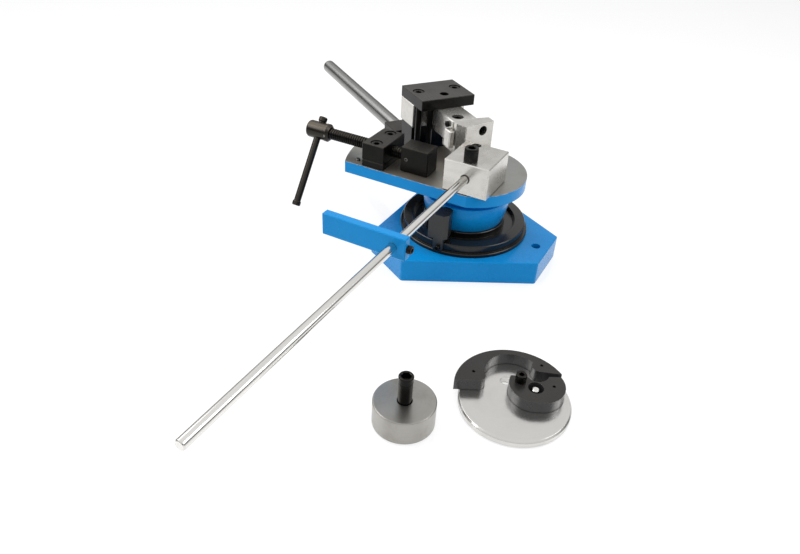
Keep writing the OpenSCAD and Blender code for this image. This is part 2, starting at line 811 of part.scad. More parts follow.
// Head with a slanted nose, an open tool hole and a foot under the arm bar
module bending_head() {
    nose = head_plan[2];
    far_corner = head_plan[3];
    slope = atan2(far_corner.x - nose.x, nose.y - far_corner.y);
    hole_x = nose.x + (nose.y - head_hole_y) * tan(slope);
    color(steel)
        at_arm()
            difference() {
                union() {
                    translate([0, 0, head_z])
                        linear_extrude(bar_z1 - head_z) polygon(rounded_outline(head_plan, 1.5));
                    translate([arm_in - 1, arm_right + 2, head_z])
                        cube([head_foot + 1, arm_left - arm_right - 4, bar_z0 - head_z]);
                }
                translate([hole_x, head_hole_y, bar_z1 - 4 - head_hole_d / 2]) rotate([0, 90, slope])
                    translate([0, 0, -cut]) cylinder(d = head_hole_d, h = head_hole_depth + cut);
                translate([head_screw.x, head_screw.y, head_z - cut])
                    cylinder(d = bolt_d + 2 * seat, h = bar_z0 - head_z + 2 * cut);
            }
}

module bending_head_screw() {
    color(black)
        at_arm()
            translate([head_screw.x, head_screw.y, bar_z1 - bolt_sink])
                cap_screw(bolt_d, bar_z1 - bolt_sink - head_z - bolt_end, wide_head_d, bolt_head_h);
}

module bending_finger() {
    color(steel)
        at_arm()
            block([finger_x[0], arm_left, finger_z[0]], [finger_x[1], arm_left + finger_t, finger_z[1]], 1.5);
}

module bending_finger_screw() {
    color(black)
        at_arm()
            translate([finger_screw.x, arm_left, finger_screw.y]) rotate([-90, 0, 0])
                cap_screw(finger_screw_d, finger_screw_in, finger_screw_head_d, finger_screw_d - 1);
}

module lever_socket() {
    color(steel)
        at_arm()
            difference() {
                block([socket_x0, socket_y[0], socket_z0], [socket_x1, socket_y[1], socket_z1]);
                translate([socket_x0 - cut, socket_y[0] - cut, arm_z0])
                    cube([socket_step - socket_x0 + cut, socket_y[1] - socket_y[0] + 2 * cut, far]);
                translate([socket_x1 - lever_spigot_len - tip_gap, lever_y, lever_z]) rotate([0, 90, 0])
                    cylinder(d = lever_spigot_d + 2 * seat, h = lever_spigot_len + tip_gap + cut);
                for (x = socket_screw_x)
                    translate([x, lever_y, arm_z0 - flat_grip - bolt_end])
                        cylinder(d = flat_d + 2 * seat, h = flat_grip + bolt_end + cut);
            }
}

module lever_socket_screws() {
    color(black)
        at_arm()
            for (x = socket_screw_x)
                translate([x, lever_y, arm_z1]) flat_screw(flat_d, arm_plate_t + flat_grip, flat_head_d);
}

module lever_handle() {
    length = lever_reach - socket_x1;
    dome = 6;
    steps = 8;
    tip = [for (i = [0 : steps])
        [lever_d / 2 - dome + dome * cos(90 * i / steps),
         lever_spigot_len + length - dome + dome * sin(90 * i / steps)]];
    color(steel)
        at_arm()
            translate([socket_x1 - lever_spigot_len, lever_y, lever_z]) rotate([0, 90, 0])
                rotate_extrude()
                    polygon(concat([[0, 0], [lever_spigot_d / 2, 0], [lever_spigot_d / 2, lever_spigot_len],
                                    [lever_d / 2 - 1, lever_spigot_len], [lever_d / 2, lever_spigot_len + 1]],
                                   tip, [[0, lever_spigot_len + length]]));
}

// Loose tools

module mandrel() {
    color(steel)
        translate([mandrel_at.x, mandrel_at.y, 0])
            difference() {
                pin(mandrel_d / 2, mandrel_h, 1);
                translate([0, 0, mandrel_h - post_in - tip_gap]) cylinder(d = post_d + 2 * seat, h = far);
            }
}

module mandrel_post() {
    color(black)
        translate([mandrel_at.x, mandrel_at.y, mandrel_h - post_in])
            difference() {
                pin(post_d / 2, post_in + post_up, 1.2);
                translate([0, 0, post_in + post_up - 8]) cylinder(d = post_d * 0.5, h = far, $fn = 6);
            }
}

module at_disc(z) translate([disc_at.x, disc_at.y, z]) rotate([0, 0, disc_turn]) children();

module scroll_disc() {
    color(steel)
        at_disc(0)
            difference() {
                rotate_extrude($fn = 180)
                    polygon([[0, 0], [disc_d / 2 - 1, 0], [disc_d / 2, 1], [disc_d / 2, disc_t - 2],
                             [disc_d / 2 - 2, disc_t], [0, disc_t]]);
                translate([disc_hole.x, disc_hole.y, -cut]) cylinder(d = disc_hole_d, h = disc_t + 2 * cut);
                translate([former_bolt.x, former_bolt.y, -cut])
                    cylinder(d = former_bolt_d + 2 * seat, h = disc_t + 2 * cut);
                translate([snail_hole.x, snail_hole.y, -cut])
                    cylinder(d = former_pin_d + 2 * seat, h = disc_t + 2 * cut);
                for (p = concat(outer_screws, [snail_screw]))
                    translate([p.x, p.y, disc_t / 2]) cylinder(d = small_d + 2 * seat, h = disc_t);
            }
}

// Outer former: a crescent between two offset circles, with a rounded nose at each end of its mouth
module scroll_outer() {
    rim = disc_d;
    mouth = [[-rim, left_nose.y - left_nose_r], [left_nose.x, left_nose.y - left_nose_r], left_nose,
             [inner_c.x, left_nose.y], [right_nose.x - right_nose_r, right_nose.y], right_nose,
             [right_nose.x, right_nose.y - right_nose_r], [rim, right_nose.y - right_nose_r - 15],
             [rim, -rim], [-rim, -rim]];
    color(black)
        at_disc(disc_t)
            difference() {
                union() {
                    difference() {
                        translate([outer_c.x, outer_c.y, 0]) cylinder(r = outer_r, h = former_h, $fn = 180);
                        translate([inner_c.x, inner_c.y, -cut])
                            cylinder(r = inner_r, h = former_h + 2 * cut, $fn = 180);
                        translate([0, 0, -cut]) linear_extrude(former_h + 2 * cut) polygon(mouth);
                    }
                    translate([left_nose.x, left_nose.y, 0]) cylinder(r = left_nose_r, h = former_h);
                    translate([right_nose.x, right_nose.y, 0]) cylinder(r = right_nose_r, h = former_h);
                }
                for (p = outer_screws)
                    translate([p.x, p.y, -cut]) cylinder(d = small_d + 2 * seat, h = former_h + 2 * cut);
            }
}

// Inner former: a growing snail body, flat on top, with a notch that faces the outer former's nose
module scroll_inner() {
    color(black)
        at_disc(disc_t)
            difference() {
                for (i = [0, 1])
                    translate([snail_c[i].x, snail_c[i].y, 0])
                        cylinder(r = snail_r[i], h = former_h, $fn = 128);
                translate([-disc_d, snail_top, -cut]) cube([2 * disc_d, disc_d, former_h + 2 * cut]);
                translate([notch_c.x, notch_c.y, -cut]) cylinder(r = notch_r, h = former_h + 2 * cut);
                translate([snail_hole.x, snail_hole.y, 3]) cylinder(d = snail_hole_d, h = former_h);
                translate([snail_hole.x, snail_hole.y, -cut])
                    cylinder(d = former_pin_d + 2 * seat, h = former_h);
                translate([former_bolt.x, former_bolt.y, -cut])
                    cylinder(d = former_bolt_d + 2 * seat, h = former_h + 2 * cut);
                translate([snail_screw.x, snail_screw.y, -cut])
                    cylinder(d = small_d + 2 * seat, h = former_h + 2 * cut);
            }
}

module scroll_bolt() {
    color(black)
        at_disc(former_top)
            translate([former_bolt.x, former_bolt.y, 0])
                cap_screw(former_bolt_d, former_h + disc_t - 1, former_bolt_head_d, former_bolt_head_h, 0.5);
}

module scroll_pin() {
    color(steel)
        at_disc(1) translate([snail_hole.x, snail_hole.y, 0]) pin(former_pin_d / 2, former_top - 3, 1);
}

module scroll_screws() {
    recess = 4;
    color(black)
        at_disc(disc_t / 2)
            for (p = concat(outer_screws, [snail_screw]))
                translate([p.x, p.y, 0]) cylinder(d = small_d, h = former_top - recess - disc_t / 2);
}

base_plate();
stop_ring();
column();
column_bolts();
table();
table_screws();
table_dowel();
anvil_block();
anvil_bolts();
rod_clamp_screw();
nut_pad();
nut_block();
nut_bolts();
vise_jaw();
jaw_grub_screw();
vise_screw();
screw_head();
screw_head_pin();
tommy_bar();
tommy_knobs();
stop_rod();
stop_bar();
stop_bar_screw();
angle_stop();
angle_stop_screw();
arm_plate();
arm_upright();
arm_bar();
arm_pillars();
top_plate();
top_plate_screws();
bending_head();
bending_head_screw();
bending_finger();
bending_finger_screw();
lever_socket();
lever_socket_screws();
lever_handle();
mandrel();
mandrel_post();
scroll_disc();
scroll_outer();
scroll_inner();
scroll_bolt();
scroll_pin();
scroll_screws();
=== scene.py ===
"""Looks of a universal bar bender: vise table, swinging bending arm, stops and two loose tools.

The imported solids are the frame. Solids whose shape is right keep it and get their finish here.
The vise screw and the socket screws are built again with their threads, knurls and hex sockets.
"""

import logging
import math
from dataclasses import dataclass, replace
from enum import Enum
from typing import Callable, Optional, Sequence, Union

import bmesh
import bpy
from mathutils import Matrix, Vector


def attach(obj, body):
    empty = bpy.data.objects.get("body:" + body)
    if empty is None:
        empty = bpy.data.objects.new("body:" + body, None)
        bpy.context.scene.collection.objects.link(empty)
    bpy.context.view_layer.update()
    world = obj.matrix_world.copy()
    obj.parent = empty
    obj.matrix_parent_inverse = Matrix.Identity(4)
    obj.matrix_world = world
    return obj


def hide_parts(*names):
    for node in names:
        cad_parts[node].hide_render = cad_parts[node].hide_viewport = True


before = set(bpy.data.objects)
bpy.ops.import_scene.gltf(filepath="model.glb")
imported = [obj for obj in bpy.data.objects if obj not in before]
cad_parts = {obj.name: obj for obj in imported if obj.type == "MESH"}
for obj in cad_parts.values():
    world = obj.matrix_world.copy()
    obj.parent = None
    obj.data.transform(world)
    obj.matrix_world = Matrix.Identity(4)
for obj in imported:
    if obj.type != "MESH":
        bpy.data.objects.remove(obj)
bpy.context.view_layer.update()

MM = 0.001
LOG = logging.getLogger("bar_bender")

Colour = tuple[float, float, float]
Point = tuple[float, float, float]
Radius = Callable[[float], float]


class Slot(Enum):
    """Material slots of the record, one for each finish."""

    BLUE_PAINT = "blue_paint"
    TABLE_STEEL = "table_steel"
    BLACK_OXIDE = "black_oxide"
    BLACK_SCREW = "black_screw"
    VISE_SCREW = "vise_screw_steel"
    GROUND_STEEL = "ground_steel"
    BAR_STEEL = "bar_steel"
    TURNED_STEEL = "turned_steel"
    FORMER_BLACK = "former_black"


class Body(Enum):
    """Bodies of the frame that new pieces ride on."""

    BASE = "base"
    SCREW = "screw"
    LENGTH_STOP_SCREW = "length_stop_screw"
    ROD_SCREW = "rod_screw"
    ANGLE_STOP_CLAMP = "angle_stop_clamp"
    ARM = "arm"
    MANDREL = "mandrel_tool"
    SCROLL = "scroll_tool"


class Wire:
    """One node output that takes part in shader maths as a Python value."""

    def __init__(self, graph: "Graph", socket: bpy.types.NodeSocket) -> None:
        """Keeps the graph and the output socket."""
        self.graph = graph
        self.socket = socket

    def _math(self, operation: str, first: "Value", second: "Value" = 0.0) -> "Wire":
        """Adds one Math node on two values.

        Args:
            operation: Name of the Math node's operation.
            first: First value or wire.
            second: Second value or wire.

        Returns:
            The node's result.
        """
        return self.graph.node("ShaderNodeMath", {"operation": operation}, {0: first, 1: second})

    def __add__(self, other: "Value") -> "Wire":
        """Sum with a value or wire."""
        return self._math("ADD", self, other)

    def __radd__(self, other: "Value") -> "Wire":
        """Sum with this wire on the right."""
        return self._math("ADD", other, self)

    def __sub__(self, other: "Value") -> "Wire":
        """Difference from a value or wire."""
        return self._math("SUBTRACT", self, other)

    def __rsub__(self, other: "Value") -> "Wire":
        """Difference with this wire on the right."""
        return self._math("SUBTRACT", other, self)

    def __mul__(self, other: "Value") -> "Wire":
        """Product with a value or wire."""
        return self._math("MULTIPLY", self, other)

    def __rmul__(self, other: "Value") -> "Wire":
        """Product with this wire on the right."""
        return self._math("MULTIPLY", other, self)

    def __truediv__(self, other: "Value") -> "Wire":
        """Quotient by a value or wire."""
        return self._math("DIVIDE", self, other)

    def __pow__(self, other: "Value") -> "Wire":
        """Power with a value or wire as exponent."""
        return self._math("POWER", self, other)

    def __abs__(self) -> "Wire":
        """Size without sign."""
        return self._math("ABSOLUTE", self)

    def higher(self, other: "Value") -> "Wire":
        """Larger of this and another value."""
        return self._math("MAXIMUM", self, other)

    def sine(self) -> "Wire":
        """Sine of the wire in radians."""
        return self._math("SINE", self)

    def smooth(self, low: float, high: float) -> "Wire":
        """Soft step from 0 at low to 1 at high.

        Args:
            low: Value where the step begins.
            high: Value where the step ends.

        Returns:
            The step as a wire from 0 to 1.
        """
        settings = {"interpolation_type": "SMOOTHSTEP"}
        return self.graph.node(
            "ShaderNodeMapRange", settings, {"Value": self, "From Min": low, "From Max": high}
        )


Value = Union[Wire, float]


class Graph:
    """Node tree of one material or world, with the node recipes that the finishes share."""

    BEVEL_SAMPLES = 6
    SHADE_SAMPLES = 8

    def __init__(self, tree: bpy.types.NodeTree) -> None:
        """Clears the tree and keeps it."""
        self.tree = tree
        tree.nodes.clear()

    def node(
        self,
        kind: str,
        settings: Optional[dict[str, object]] = None,
        sockets: Optional[dict[Union[str, int], object]] = None,
        out: Union[str, int] = 0,
    ) -> Wire:
        """Adds one node.

        Args:
            kind: Node type.
            settings: Node settings, set before the sockets. "stops" sets a ramp's stops.
            sockets: Values or wires for the inputs, by name or number.
            out: Output to return, by name or number.

        Returns:
            The chosen output, or an empty wire where the node has none.
        """
        made = self.tree.nodes.new(kind)
        for key, value in (settings or {}).items():
            if key == "stops":
                self._set_stops(made.color_ramp, value)
            else:
                setattr(made, key, value)
        for key, value in (sockets or {}).items():
            socket = made.inputs[key]
            if isinstance(value, Wire):
                self.tree.links.new(value.socket, socket)
            elif socket.type == "RGBA" and len(value) == 3:
                socket.default_value = (*value, 1.0)
            else:
                socket.default_value = value
        return Wire(self, made.outputs[out] if len(made.outputs) else None)

    @staticmethod
    def _set_stops(ramp: bpy.types.ColorRamp, stops: Sequence[tuple[float, Colour]]) -> None:
        """Sets a ramp's stops.

        Args:
            ramp: Ramp to set.
            stops: Places and colours in order.
        """
        while len(ramp.elements) < len(stops):
            ramp.elements.new(1.0)
        for element, (place, colour) in zip(ramp.elements, stops):
            element.position = place
            element.color = (*colour, 1.0)

    def position(self) -> Wire:
        """Place on the piece at rest, in metres."""
        return self.node("ShaderNodeTexCoord", out="Object")

    def facing(self, direction: Point) -> Wire:
        """How far the surface faces a direction of the piece, from -1 to 1."""
        return self.dot(self.node("ShaderNodeTexCoord", out="Normal"), direction)

    def dot(self, first: Wire, second: Union[Wire, Point]) -> Wire:
        """Dot product of two vectors."""
        settings = {"operation": "DOT_PRODUCT"}
        return self.node("ShaderNodeVectorMath", settings, {0: first, 1: second}, "Value")

    def along(self, direction: Point) -> Wire:
        """Distance along a direction from the origin, in metres."""
        return self.dot(self.position(), direction)

    def vector(self, x: Value, y: Value, z: Value) -> Wire:
        """Vector from three values or wires."""
        return self.node("ShaderNodeCombineXYZ", None, {0: x, 1: y, 2: z})

    def noise(
        self, scale: float, detail: float = 3.0, rough: float = 0.5, at: Optional[Wire] = None
    ) -> Wire:
        """Cloudy noise from 0 to 1.

        Args:
            scale: Features in a metre.
            detail: Octaves of finer noise.
            rough: Weight of the finer octaves.
            at: Coordinates, or the place on the piece where left out.

        Returns:
            The noise value.
        """
        where = at or self.position()
        sockets = {"Vector": where, "Scale": scale, "Detail": detail, "Roughness": rough}
        return self.node("ShaderNodeTexNoise", None, sockets, "Fac")

    def grain(self, grain: Point, stretch: float, scale: float, detail: float = 2.0) -> Wire:
        """Noise drawn out along one direction, as grinding and drawing leave it.

        Args:
            grain: Direction of the lines, level or upright.
            stretch: How many times longer than wide the marks are.
            scale: Marks in a metre across the lines.
            detail: Octaves of finer noise.

        Returns:
            The noise value.
        """
        lengthwise = Vector(grain).normalized()
        upright = Vector((0, 0, 1)) if abs(lengthwise.z) < 0.9 else Vector((1, 0, 0))
        across = lengthwise.cross(upright).normalized()
        over = across.cross(lengthwise)
        where = self.vector(
            self.along(tuple(lengthwise)) / stretch, self.along(tuple(across)), self.along(tuple(over))
        )
        return self.noise(scale, detail, 0.6, where)

    def from_axis(self, centre: Point) -> Wire:
        """Distance from an upright axis, in metres."""
        level = self.node(
            "ShaderNodeVectorMath", {"operation": "MULTIPLY"}, {0: self.position(), 1: (1.0, 1.0, 0.0)}
        )
        foot = (centre[0], centre[1], 0.0)
        return self.node("ShaderNodeVectorMath", {"operation": "DISTANCE"}, {0: level, 1: foot}, "Value")

    def edges(self, radius: float) -> Wire:
        """Mask of sharp edges.

        Args:
            radius: Width of the mask from the edge, in metres.

        Returns:
            1 on edges and 0 on flat faces.
        """
        rounded = self.rounded(radius)
        plain = self.node("ShaderNodeNewGeometry", out="Normal")
        return (1.0 - self.dot(rounded, plain)).smooth(0.0, 0.25)

    def rounded(self, radius: float) -> Wire:
        """Normal with softened edges."""
        return self.node("ShaderNodeBevel", {"samples": self.BEVEL_SAMPLES}, {"Radius": radius})

    def crevice(self, reach: float, low: float = 0.52, high: float = 0.97, own: bool = False) -> Wire:
        """Ambient-occlusion mask of bores, corners and gaps, used to paint shade.

        Args:
            reach: How far off another face still counts, in metres.
            low: Share of the sky hidden where the mask begins.
            high: Share of the sky hidden where the mask is full.
            own: True where only faces of the same piece count.

        Returns:
            1 deep in a gap and 0 on an open face.
        """
        settings = {"samples": self.SHADE_SAMPLES, "only_local": own}
        open_side = self.node("ShaderNodeAmbientOcclusion", settings, {"Distance": reach}, "AO")
        return (1.0 - open_side).smooth(low, high)

    def mix(self, amount: Value, first: object, second: object) -> Wire:
        """Blend of two colours.

        Args:
            amount: Share of the second colour.
            first: First colour or wire.
            second: Second colour or wire.

        Returns:
            The blended colour.
        """
        return self.node("ShaderNodeMix", {"data_type": "RGBA"}, {0: amount, 6: first, 7: second}, 2)

    def bump(self, height: Wire, strength: float, depth: float, normal: Optional[Wire] = None) -> Wire:
        """Normal bent by a height.

        Args:
            height: Height from 0 to 1.
            strength: Share of the bend.
            depth: Depth of the height, in metres.
            normal: Normal to start from.

        Returns:
            The bent normal.
        """
        sockets: dict[Union[str, int], object] = {"Height": height, "Strength": strength, "Distance": depth}
        if normal is not None:
            sockets["Normal"] = normal
        return self.node("ShaderNodeBump", None, sockets)

    def surface(self, **sockets: object) -> None:
        """Adds the shader and the output.

        Args:
            **sockets: Shader sockets with underscores for spaces, as values or wires.
        """
        named = {key.replace("_", " "): value for key, value in sockets.items()}
        shader = self.node("ShaderNodeBsdfPrincipled", None, named)
        self.node("ShaderNodeOutputMaterial", None, {"Surface": shader})


@dataclass(frozen=True)
class Finish:
    """A finish that becomes one material."""

    slot: Slot

    def material(self, name: str = "") -> bpy.types.Material:
        """Makes the material and draws its nodes.

        Args:
            name: Name of the material, or empty for the slot's name.

        Returns:
            The finished material.
        """
        made = bpy.data.materials.new(name or self.slot.value)
        made.use_nodes = True
        self.draw(Graph(made.node_tree))
        return made

    def draw(self, g: Graph) -> None:
        """Draws the nodes of the finish.

        Args:
            g: Graph to draw in.
        """
        raise NotImplementedError


@dataclass(frozen=True)
class MachinePaint(Finish):
    """Gloss blue machine paint with a faint orange peel, thin edges and painted shade in its corners."""

    slot: Slot = Slot.BLUE_PAINT
    colour: Colour = (0.004, 0.262, 0.650)
    deep: Colour = (0.003, 0.205, 0.550)
    edge: Colour = (0.060, 0.400, 0.760)
    dust: Colour = (0.110, 0.330, 0.560)
    # painted shade colour, laid where ambient occlusion finds corners and gaps
    crevice_shade: Colour = (0.004, 0.030, 0.080)
    sheen: Colour = (0.22, 0.58, 1.0)

    def colours(self, g: Graph) -> Wire:
        """Paint colour with cloudy depth, a little dust, thin edges and painted shade in the corners.

        Args:
            g: Graph to draw in.

        Returns:
            The colour.
        """
        cloudy = g.noise(16.0, 4.0, 0.55).smooth(0.35, 0.75)
        dusty = g.noise(55.0, 5.0, 0.65).smooth(0.58, 0.86) * g.facing((0, 0, 1)).smooth(0.5, 1.0)
        worn = g.edges(0.0009) * g.noise(90.0, 3.0).smooth(0.30, 0.70)
        body = g.mix(cloudy * 0.40, self.colour, self.deep)
        body = g.mix(dusty * 0.16, body, self.dust)
        body = g.mix(worn * 0.50, body, self.edge)
        # painted shade: the paint goes dark where ambient occlusion finds corners and gaps
        return g.mix(g.crevice(0.010) * 0.75, body, self.crevice_shade)

    def peel(self, g: Graph) -> Wire:
        """Normal with orange peel and softened edges.

        Args:
            g: Graph to draw in.

        Returns:
            The bent normal.
        """
        waves = g.noise(260.0, 2.0, 0.5) * 0.8 + g.noise(1400.0, 2.0) * 0.2
        return g.bump(waves, 0.05, 0.0006, g.rounded(0.0009))

    def draw(self, g: Graph) -> None:
        """Draws the paint.

        Args:
            g: Graph to draw in.
        """
        smudge = g.noise(34.0, 4.0, 0.6)
        g.surface(
            Base_Color=self.colours(g),
            Roughness=0.20 + smudge * 0.14,
            Specular_IOR_Level=0.36,
            Specular_Tint=self.sheen,
            Coat_Weight=0.05,
            Coat_Roughness=0.08,
            Normal=self.peel(g),
        )


@dataclass(frozen=True)
class ArmPaint(MachinePaint):
    """Machine paint round the pivot that ends where the black part of the arm begins."""

    ends: float = 0.105
    black: Colour = (0.012, 0.0118, 0.011)

    def colours(self, g: Graph) -> Wire:
        """Paint colour near the pivot and black beyond it."""
        outside = g.from_axis((0.0, 0.0, 0.0)).smooth(self.ends - 0.001, self.ends + 0.001)
        return g.mix(outside, super().colours(g), self.black)


@dataclass(frozen=True)
class TableFinish(Finish):
    """Ground top with brown oil stain and fine lines, and a painted edge below a worn rim."""

    slot: Slot = Slot.TABLE_STEEL
    steel: Colour = (0.420, 0.378, 0.315)
    stain: Colour = (0.290, 0.243, 0.182)
    bright: Colour = (0.580, 0.545, 0.490)
    # painted shade colour for corners and gaps
    crevice_shade: Colour = (0.050, 0.042, 0.035)
    top: float = 0.132
    paint: MachinePaint = MachinePaint()

    def metal(self, g: Graph, lines: Wire, blotch: Wire) -> Wire:
        """Colour of the ground top.

        Args:
            g: Graph to draw in.
            lines: Grinding lines.
            blotch: Oil stain.

        Returns:
            The colour.
        """
        rub = g.noise(13.0, 4.0).smooth(0.55, 0.80)
        body = g.mix(blotch * 0.55, self.steel, self.stain)
        body = g.mix(rub * 0.35, body, self.bright)
        body = g.mix((lines - 0.5) * 0.30 + 0.08, body, self.bright)
        # painted shade in the corners and gaps of the top
        return g.mix(g.crevice(0.014) * 0.80, body, self.crevice_shade)

    def draw(self, g: Graph) -> None:
        """Draws the ground top and the painted edge.

        Args:
            g: Graph to draw in.
        """
        lines = g.grain((1, 0.02, 0), 45.0, 1100.0, 3.0)
        cross = g.grain((0.35, 1, 0), 30.0, 900.0)
        blotch = g.noise(26.0, 5.0, 0.6).smooth(0.36, 0.78)
        height = g.along((0, 0, 1))
        rim = height.smooth(self.top - 0.0011, self.top - 0.0002) * g.noise(150.0, 3.0).smooth(0.42, 0.62)
        bare = g.facing((0, 0, 1)).smooth(0.55, 0.90).higher(rim)
        scratches = lines * 0.6 + cross * 0.4
        g.surface(
            Base_Color=g.mix(bare, self.paint.colours(g), self.metal(g, lines, blotch)),
            Metallic=bare * 0.86,
            Roughness=0.26 + bare * (0.03 + 0.14 * blotch + 0.06 * lines),
            Specular_IOR_Level=0.36,
            Specular_Tint=self.paint.sheen,
            Coat_Weight=0.05 - bare * 0.05,
            Coat_Roughness=0.08,
            Normal=g.bump(scratches, 0.05, 0.0003, g.rounded(0.0008)),
        )


@dataclass(frozen=True)
class BlackOxide(Finish):
    """Satin black oxide over machined steel, brownish in places, with a painted lighter sheen on its top
    faces, worn bright on its edges and painted shade in its gaps.
    """

    slot: Slot = Slot.BLACK_OXIDE
    colour: Colour = (0.0075, 0.0073, 0.0068)
    # brownish tone, and above all the painted sheen of top faces that reflect the sky
    brown: Colour = (0.050, 0.046, 0.038)
    edge: Colour = (0.20, 0.185, 0.165)
    # painted shade colour for corners and gaps
    crevice_shade: Colour = (0.002, 0.002, 0.002)
    rough: float = 0.33
    metal: float = 0.84
    # share of the painted sheen on top faces
    open: float = 0.80
    wear: float = 0.55
    lines: Point = (0.4, 1.0, 0.0)

    def draw(self, g: Graph) -> None:
        """Draws the black finish.

        Args:
            g: Graph to draw in.
        """
        cloudy = g.noise(38.0, 5.0, 0.6).smooth(0.35, 0.78)
        # painted light: top faces turn lighter and brownish, as where they reflect the sky
        top_sheen_mask = g.facing((0, 0, 1)).smooth(0.4, 1.0)
        milled = g.grain(self.lines, 40.0, 900.0, 2.0)
        nicks = g.noise(420.0, 3.0, 0.7).smooth(0.70, 0.84)
        worn = g.edges(0.0006) * g.noise(120.0, 4.0).smooth(0.34, 0.72)
        body = g.mix(cloudy * 0.10 + top_sheen_mask * (self.open - 0.22 * cloudy), self.colour, self.brown)
        body = g.mix(nicks * 0.10, body, self.edge)
        body = g.mix(worn * self.wear, body, self.edge)
        # painted shade in corners and gaps
        body = g.mix(g.crevice(0.008) * 0.85, body, self.crevice_shade)
        g.surface(
            Base_Color=body,
            Metallic=self.metal + worn * 0.2,
            Roughness=self.rough - 0.05 + cloudy * 0.10 + (milled - 0.5) * 0.08,
            Normal=g.bump(milled * 0.7 + g.noise(900.0, 2.0) * 0.3, 0.035, 0.0003, g.rounded(0.0007)),
        )


@dataclass(frozen=True)
class GroundSteel(Finish):
    """Surface-ground tool steel with fine lines, handling smudges, bright edges and painted shade in its
    bores and corners.
    """

    slot: Slot = Slot.GROUND_STEEL
    colour: Colour = (0.640, 0.625, 0.592)
    shade: Colour = (0.470, 0.453, 0.420)
    edge: Colour = (0.830, 0.828, 0.815)
    stain: Colour = (0.340, 0.315, 0.275)
    # painted shade colour for bores and corners
    crevice_shade: Colour = (0.030, 0.028, 0.025)
    lines: Point = (0.30, 1.0, 0.0)
    rough: float = 0.24
    metal: float = 0.86

    def ground(self, g: Graph, stretch: float, scale: float) -> Wire:
        """Grinding lines that turn across on the faces they would meet end on.

        Args:
            g: Graph to draw in.
            stretch: How much longer than wide a line is.
            scale: Lines per metre.

        Returns:
            Height of the lines.
        """
        along = g.grain(self.lines, stretch, scale, 3.0)
        across = g.grain((self.lines[1], -self.lines[0], 0.0), stretch, scale, 3.0)
        return along + abs(g.facing(self.lines)).smooth(0.50, 0.80) * (across - along)

    def dark(self, g: Graph) -> Wire:
        """How much painted shade goes in the bores and corners."""
        return g.crevice(0.018, 0.40, 0.88, True) * 0.96

    def draw(self, g: Graph) -> None:
        """Draws the ground steel.

        Args:
            g: Graph to draw in.
        """
        fine = self.ground(g, 80.0, 1300.0)
        broad = self.ground(g, 12.0, 70.0)
        smudge = g.noise(30.0, 4.0, 0.55).smooth(0.42, 0.80)
        specks = g.noise(420.0, 3.0, 0.7).smooth(0.74, 0.86)
        worn = g.edges(0.0005)
        body = g.mix(broad.smooth(0.30, 0.80) * 0.45, self.colour, self.shade)
        body = g.mix((fine - 0.5) * 0.20 + 0.08, body, self.shade)
        body = g.mix(smudge * 0.40, body, self.stain)
        body = g.mix(specks * 0.12, body, self.stain)
        body = g.mix(worn * 0.16, body, self.edge)
        # painted shade in bores and corners
        body = g.mix(self.dark(g), body, self.crevice_shade)
        g.surface(
            Base_Color=body,
            Metallic=self.metal,
            Roughness=self.rough + smudge * 0.10 + (fine - 0.5) * 0.06,
            Normal=g.bump(fine * 0.8 + broad * 0.2, 0.016, 0.0003, g.rounded(0.0003)),
        )


@dataclass(frozen=True)
class AnvilSteel(GroundSteel):
    """Ground steel with a painted shadow ring at the mouth of the bore that the rod slides in."""

    axis: Point = (0.0265, 0.0, 0.157)
    bore: float = 0.0062
    # width of the painted shadow ring
    ring: float = 0.0011

    def dark(self, g: Graph) -> Wire:
        """Painted shade in the bores, and a painted shadow ring round the rod."""
        x, z = g.along((1, 0, 0)) - self.axis[0], g.along((0, 0, 1)) - self.axis[2]
        away = (x * x + z * z) ** 0.5
        # painted shadow: a dark ring round the mouth of the rod's bore
        oil_and_rim_shadow = 1.0 - away.smooth(self.bore + self.ring * 0.6, self.bore + self.ring * 1.4)
        return super().dark(g).higher(oil_and_rim_shadow * 0.94)


@dataclass(frozen=True)
class DrawnBar(Finish):
    """Bright drawn bar with long lines, dull bands and small dark specks."""

    slot: Slot = Slot.BAR_STEEL
    colour: Colour = (0.780, 0.770, 0.745)
    shade: Colour = (0.520, 0.505, 0.475)
    stain: Colour = (0.260, 0.230, 0.190)
    # painted shade colour for corners and gaps
    crevice_shade: Colour = (0.035, 0.032, 0.028)
    lines: Point = (0.0, 1.0, 0.0)
    rough: float = 0.13

    def draw(self, g: Graph) -> None:
        """Draws the drawn bar.

        Args:
            g: Graph to draw in.
        """
        fine = g.grain(self.lines, 140.0, 1300.0, 3.0)
        broad = g.grain(self.lines, 40.0, 150.0, 3.0)
        dull = g.noise(18.0, 4.0, 0.6).smooth(0.42, 0.78)
        specks = g.noise(260.0, 4.0, 0.72).smooth(0.72, 0.84)
        body = g.mix(broad.smooth(0.35, 0.75) * 0.28, self.colour, self.shade)
        body = g.mix(dull * 0.18, body, self.shade)
        body = g.mix(specks * 0.30, body, self.stain)
        # painted shade in corners and gaps
        body = g.mix(g.crevice(0.008) * 0.90, body, self.crevice_shade)
        g.surface(
            Base_Color=body,
            Metallic=1.0,
            Roughness=self.rough + dull * 0.09 + (fine - 0.5) * 0.05,
            Normal=g.bump(fine * 0.7 + broad * 0.3, 0.020, 0.0003, g.rounded(0.0007)),
        )


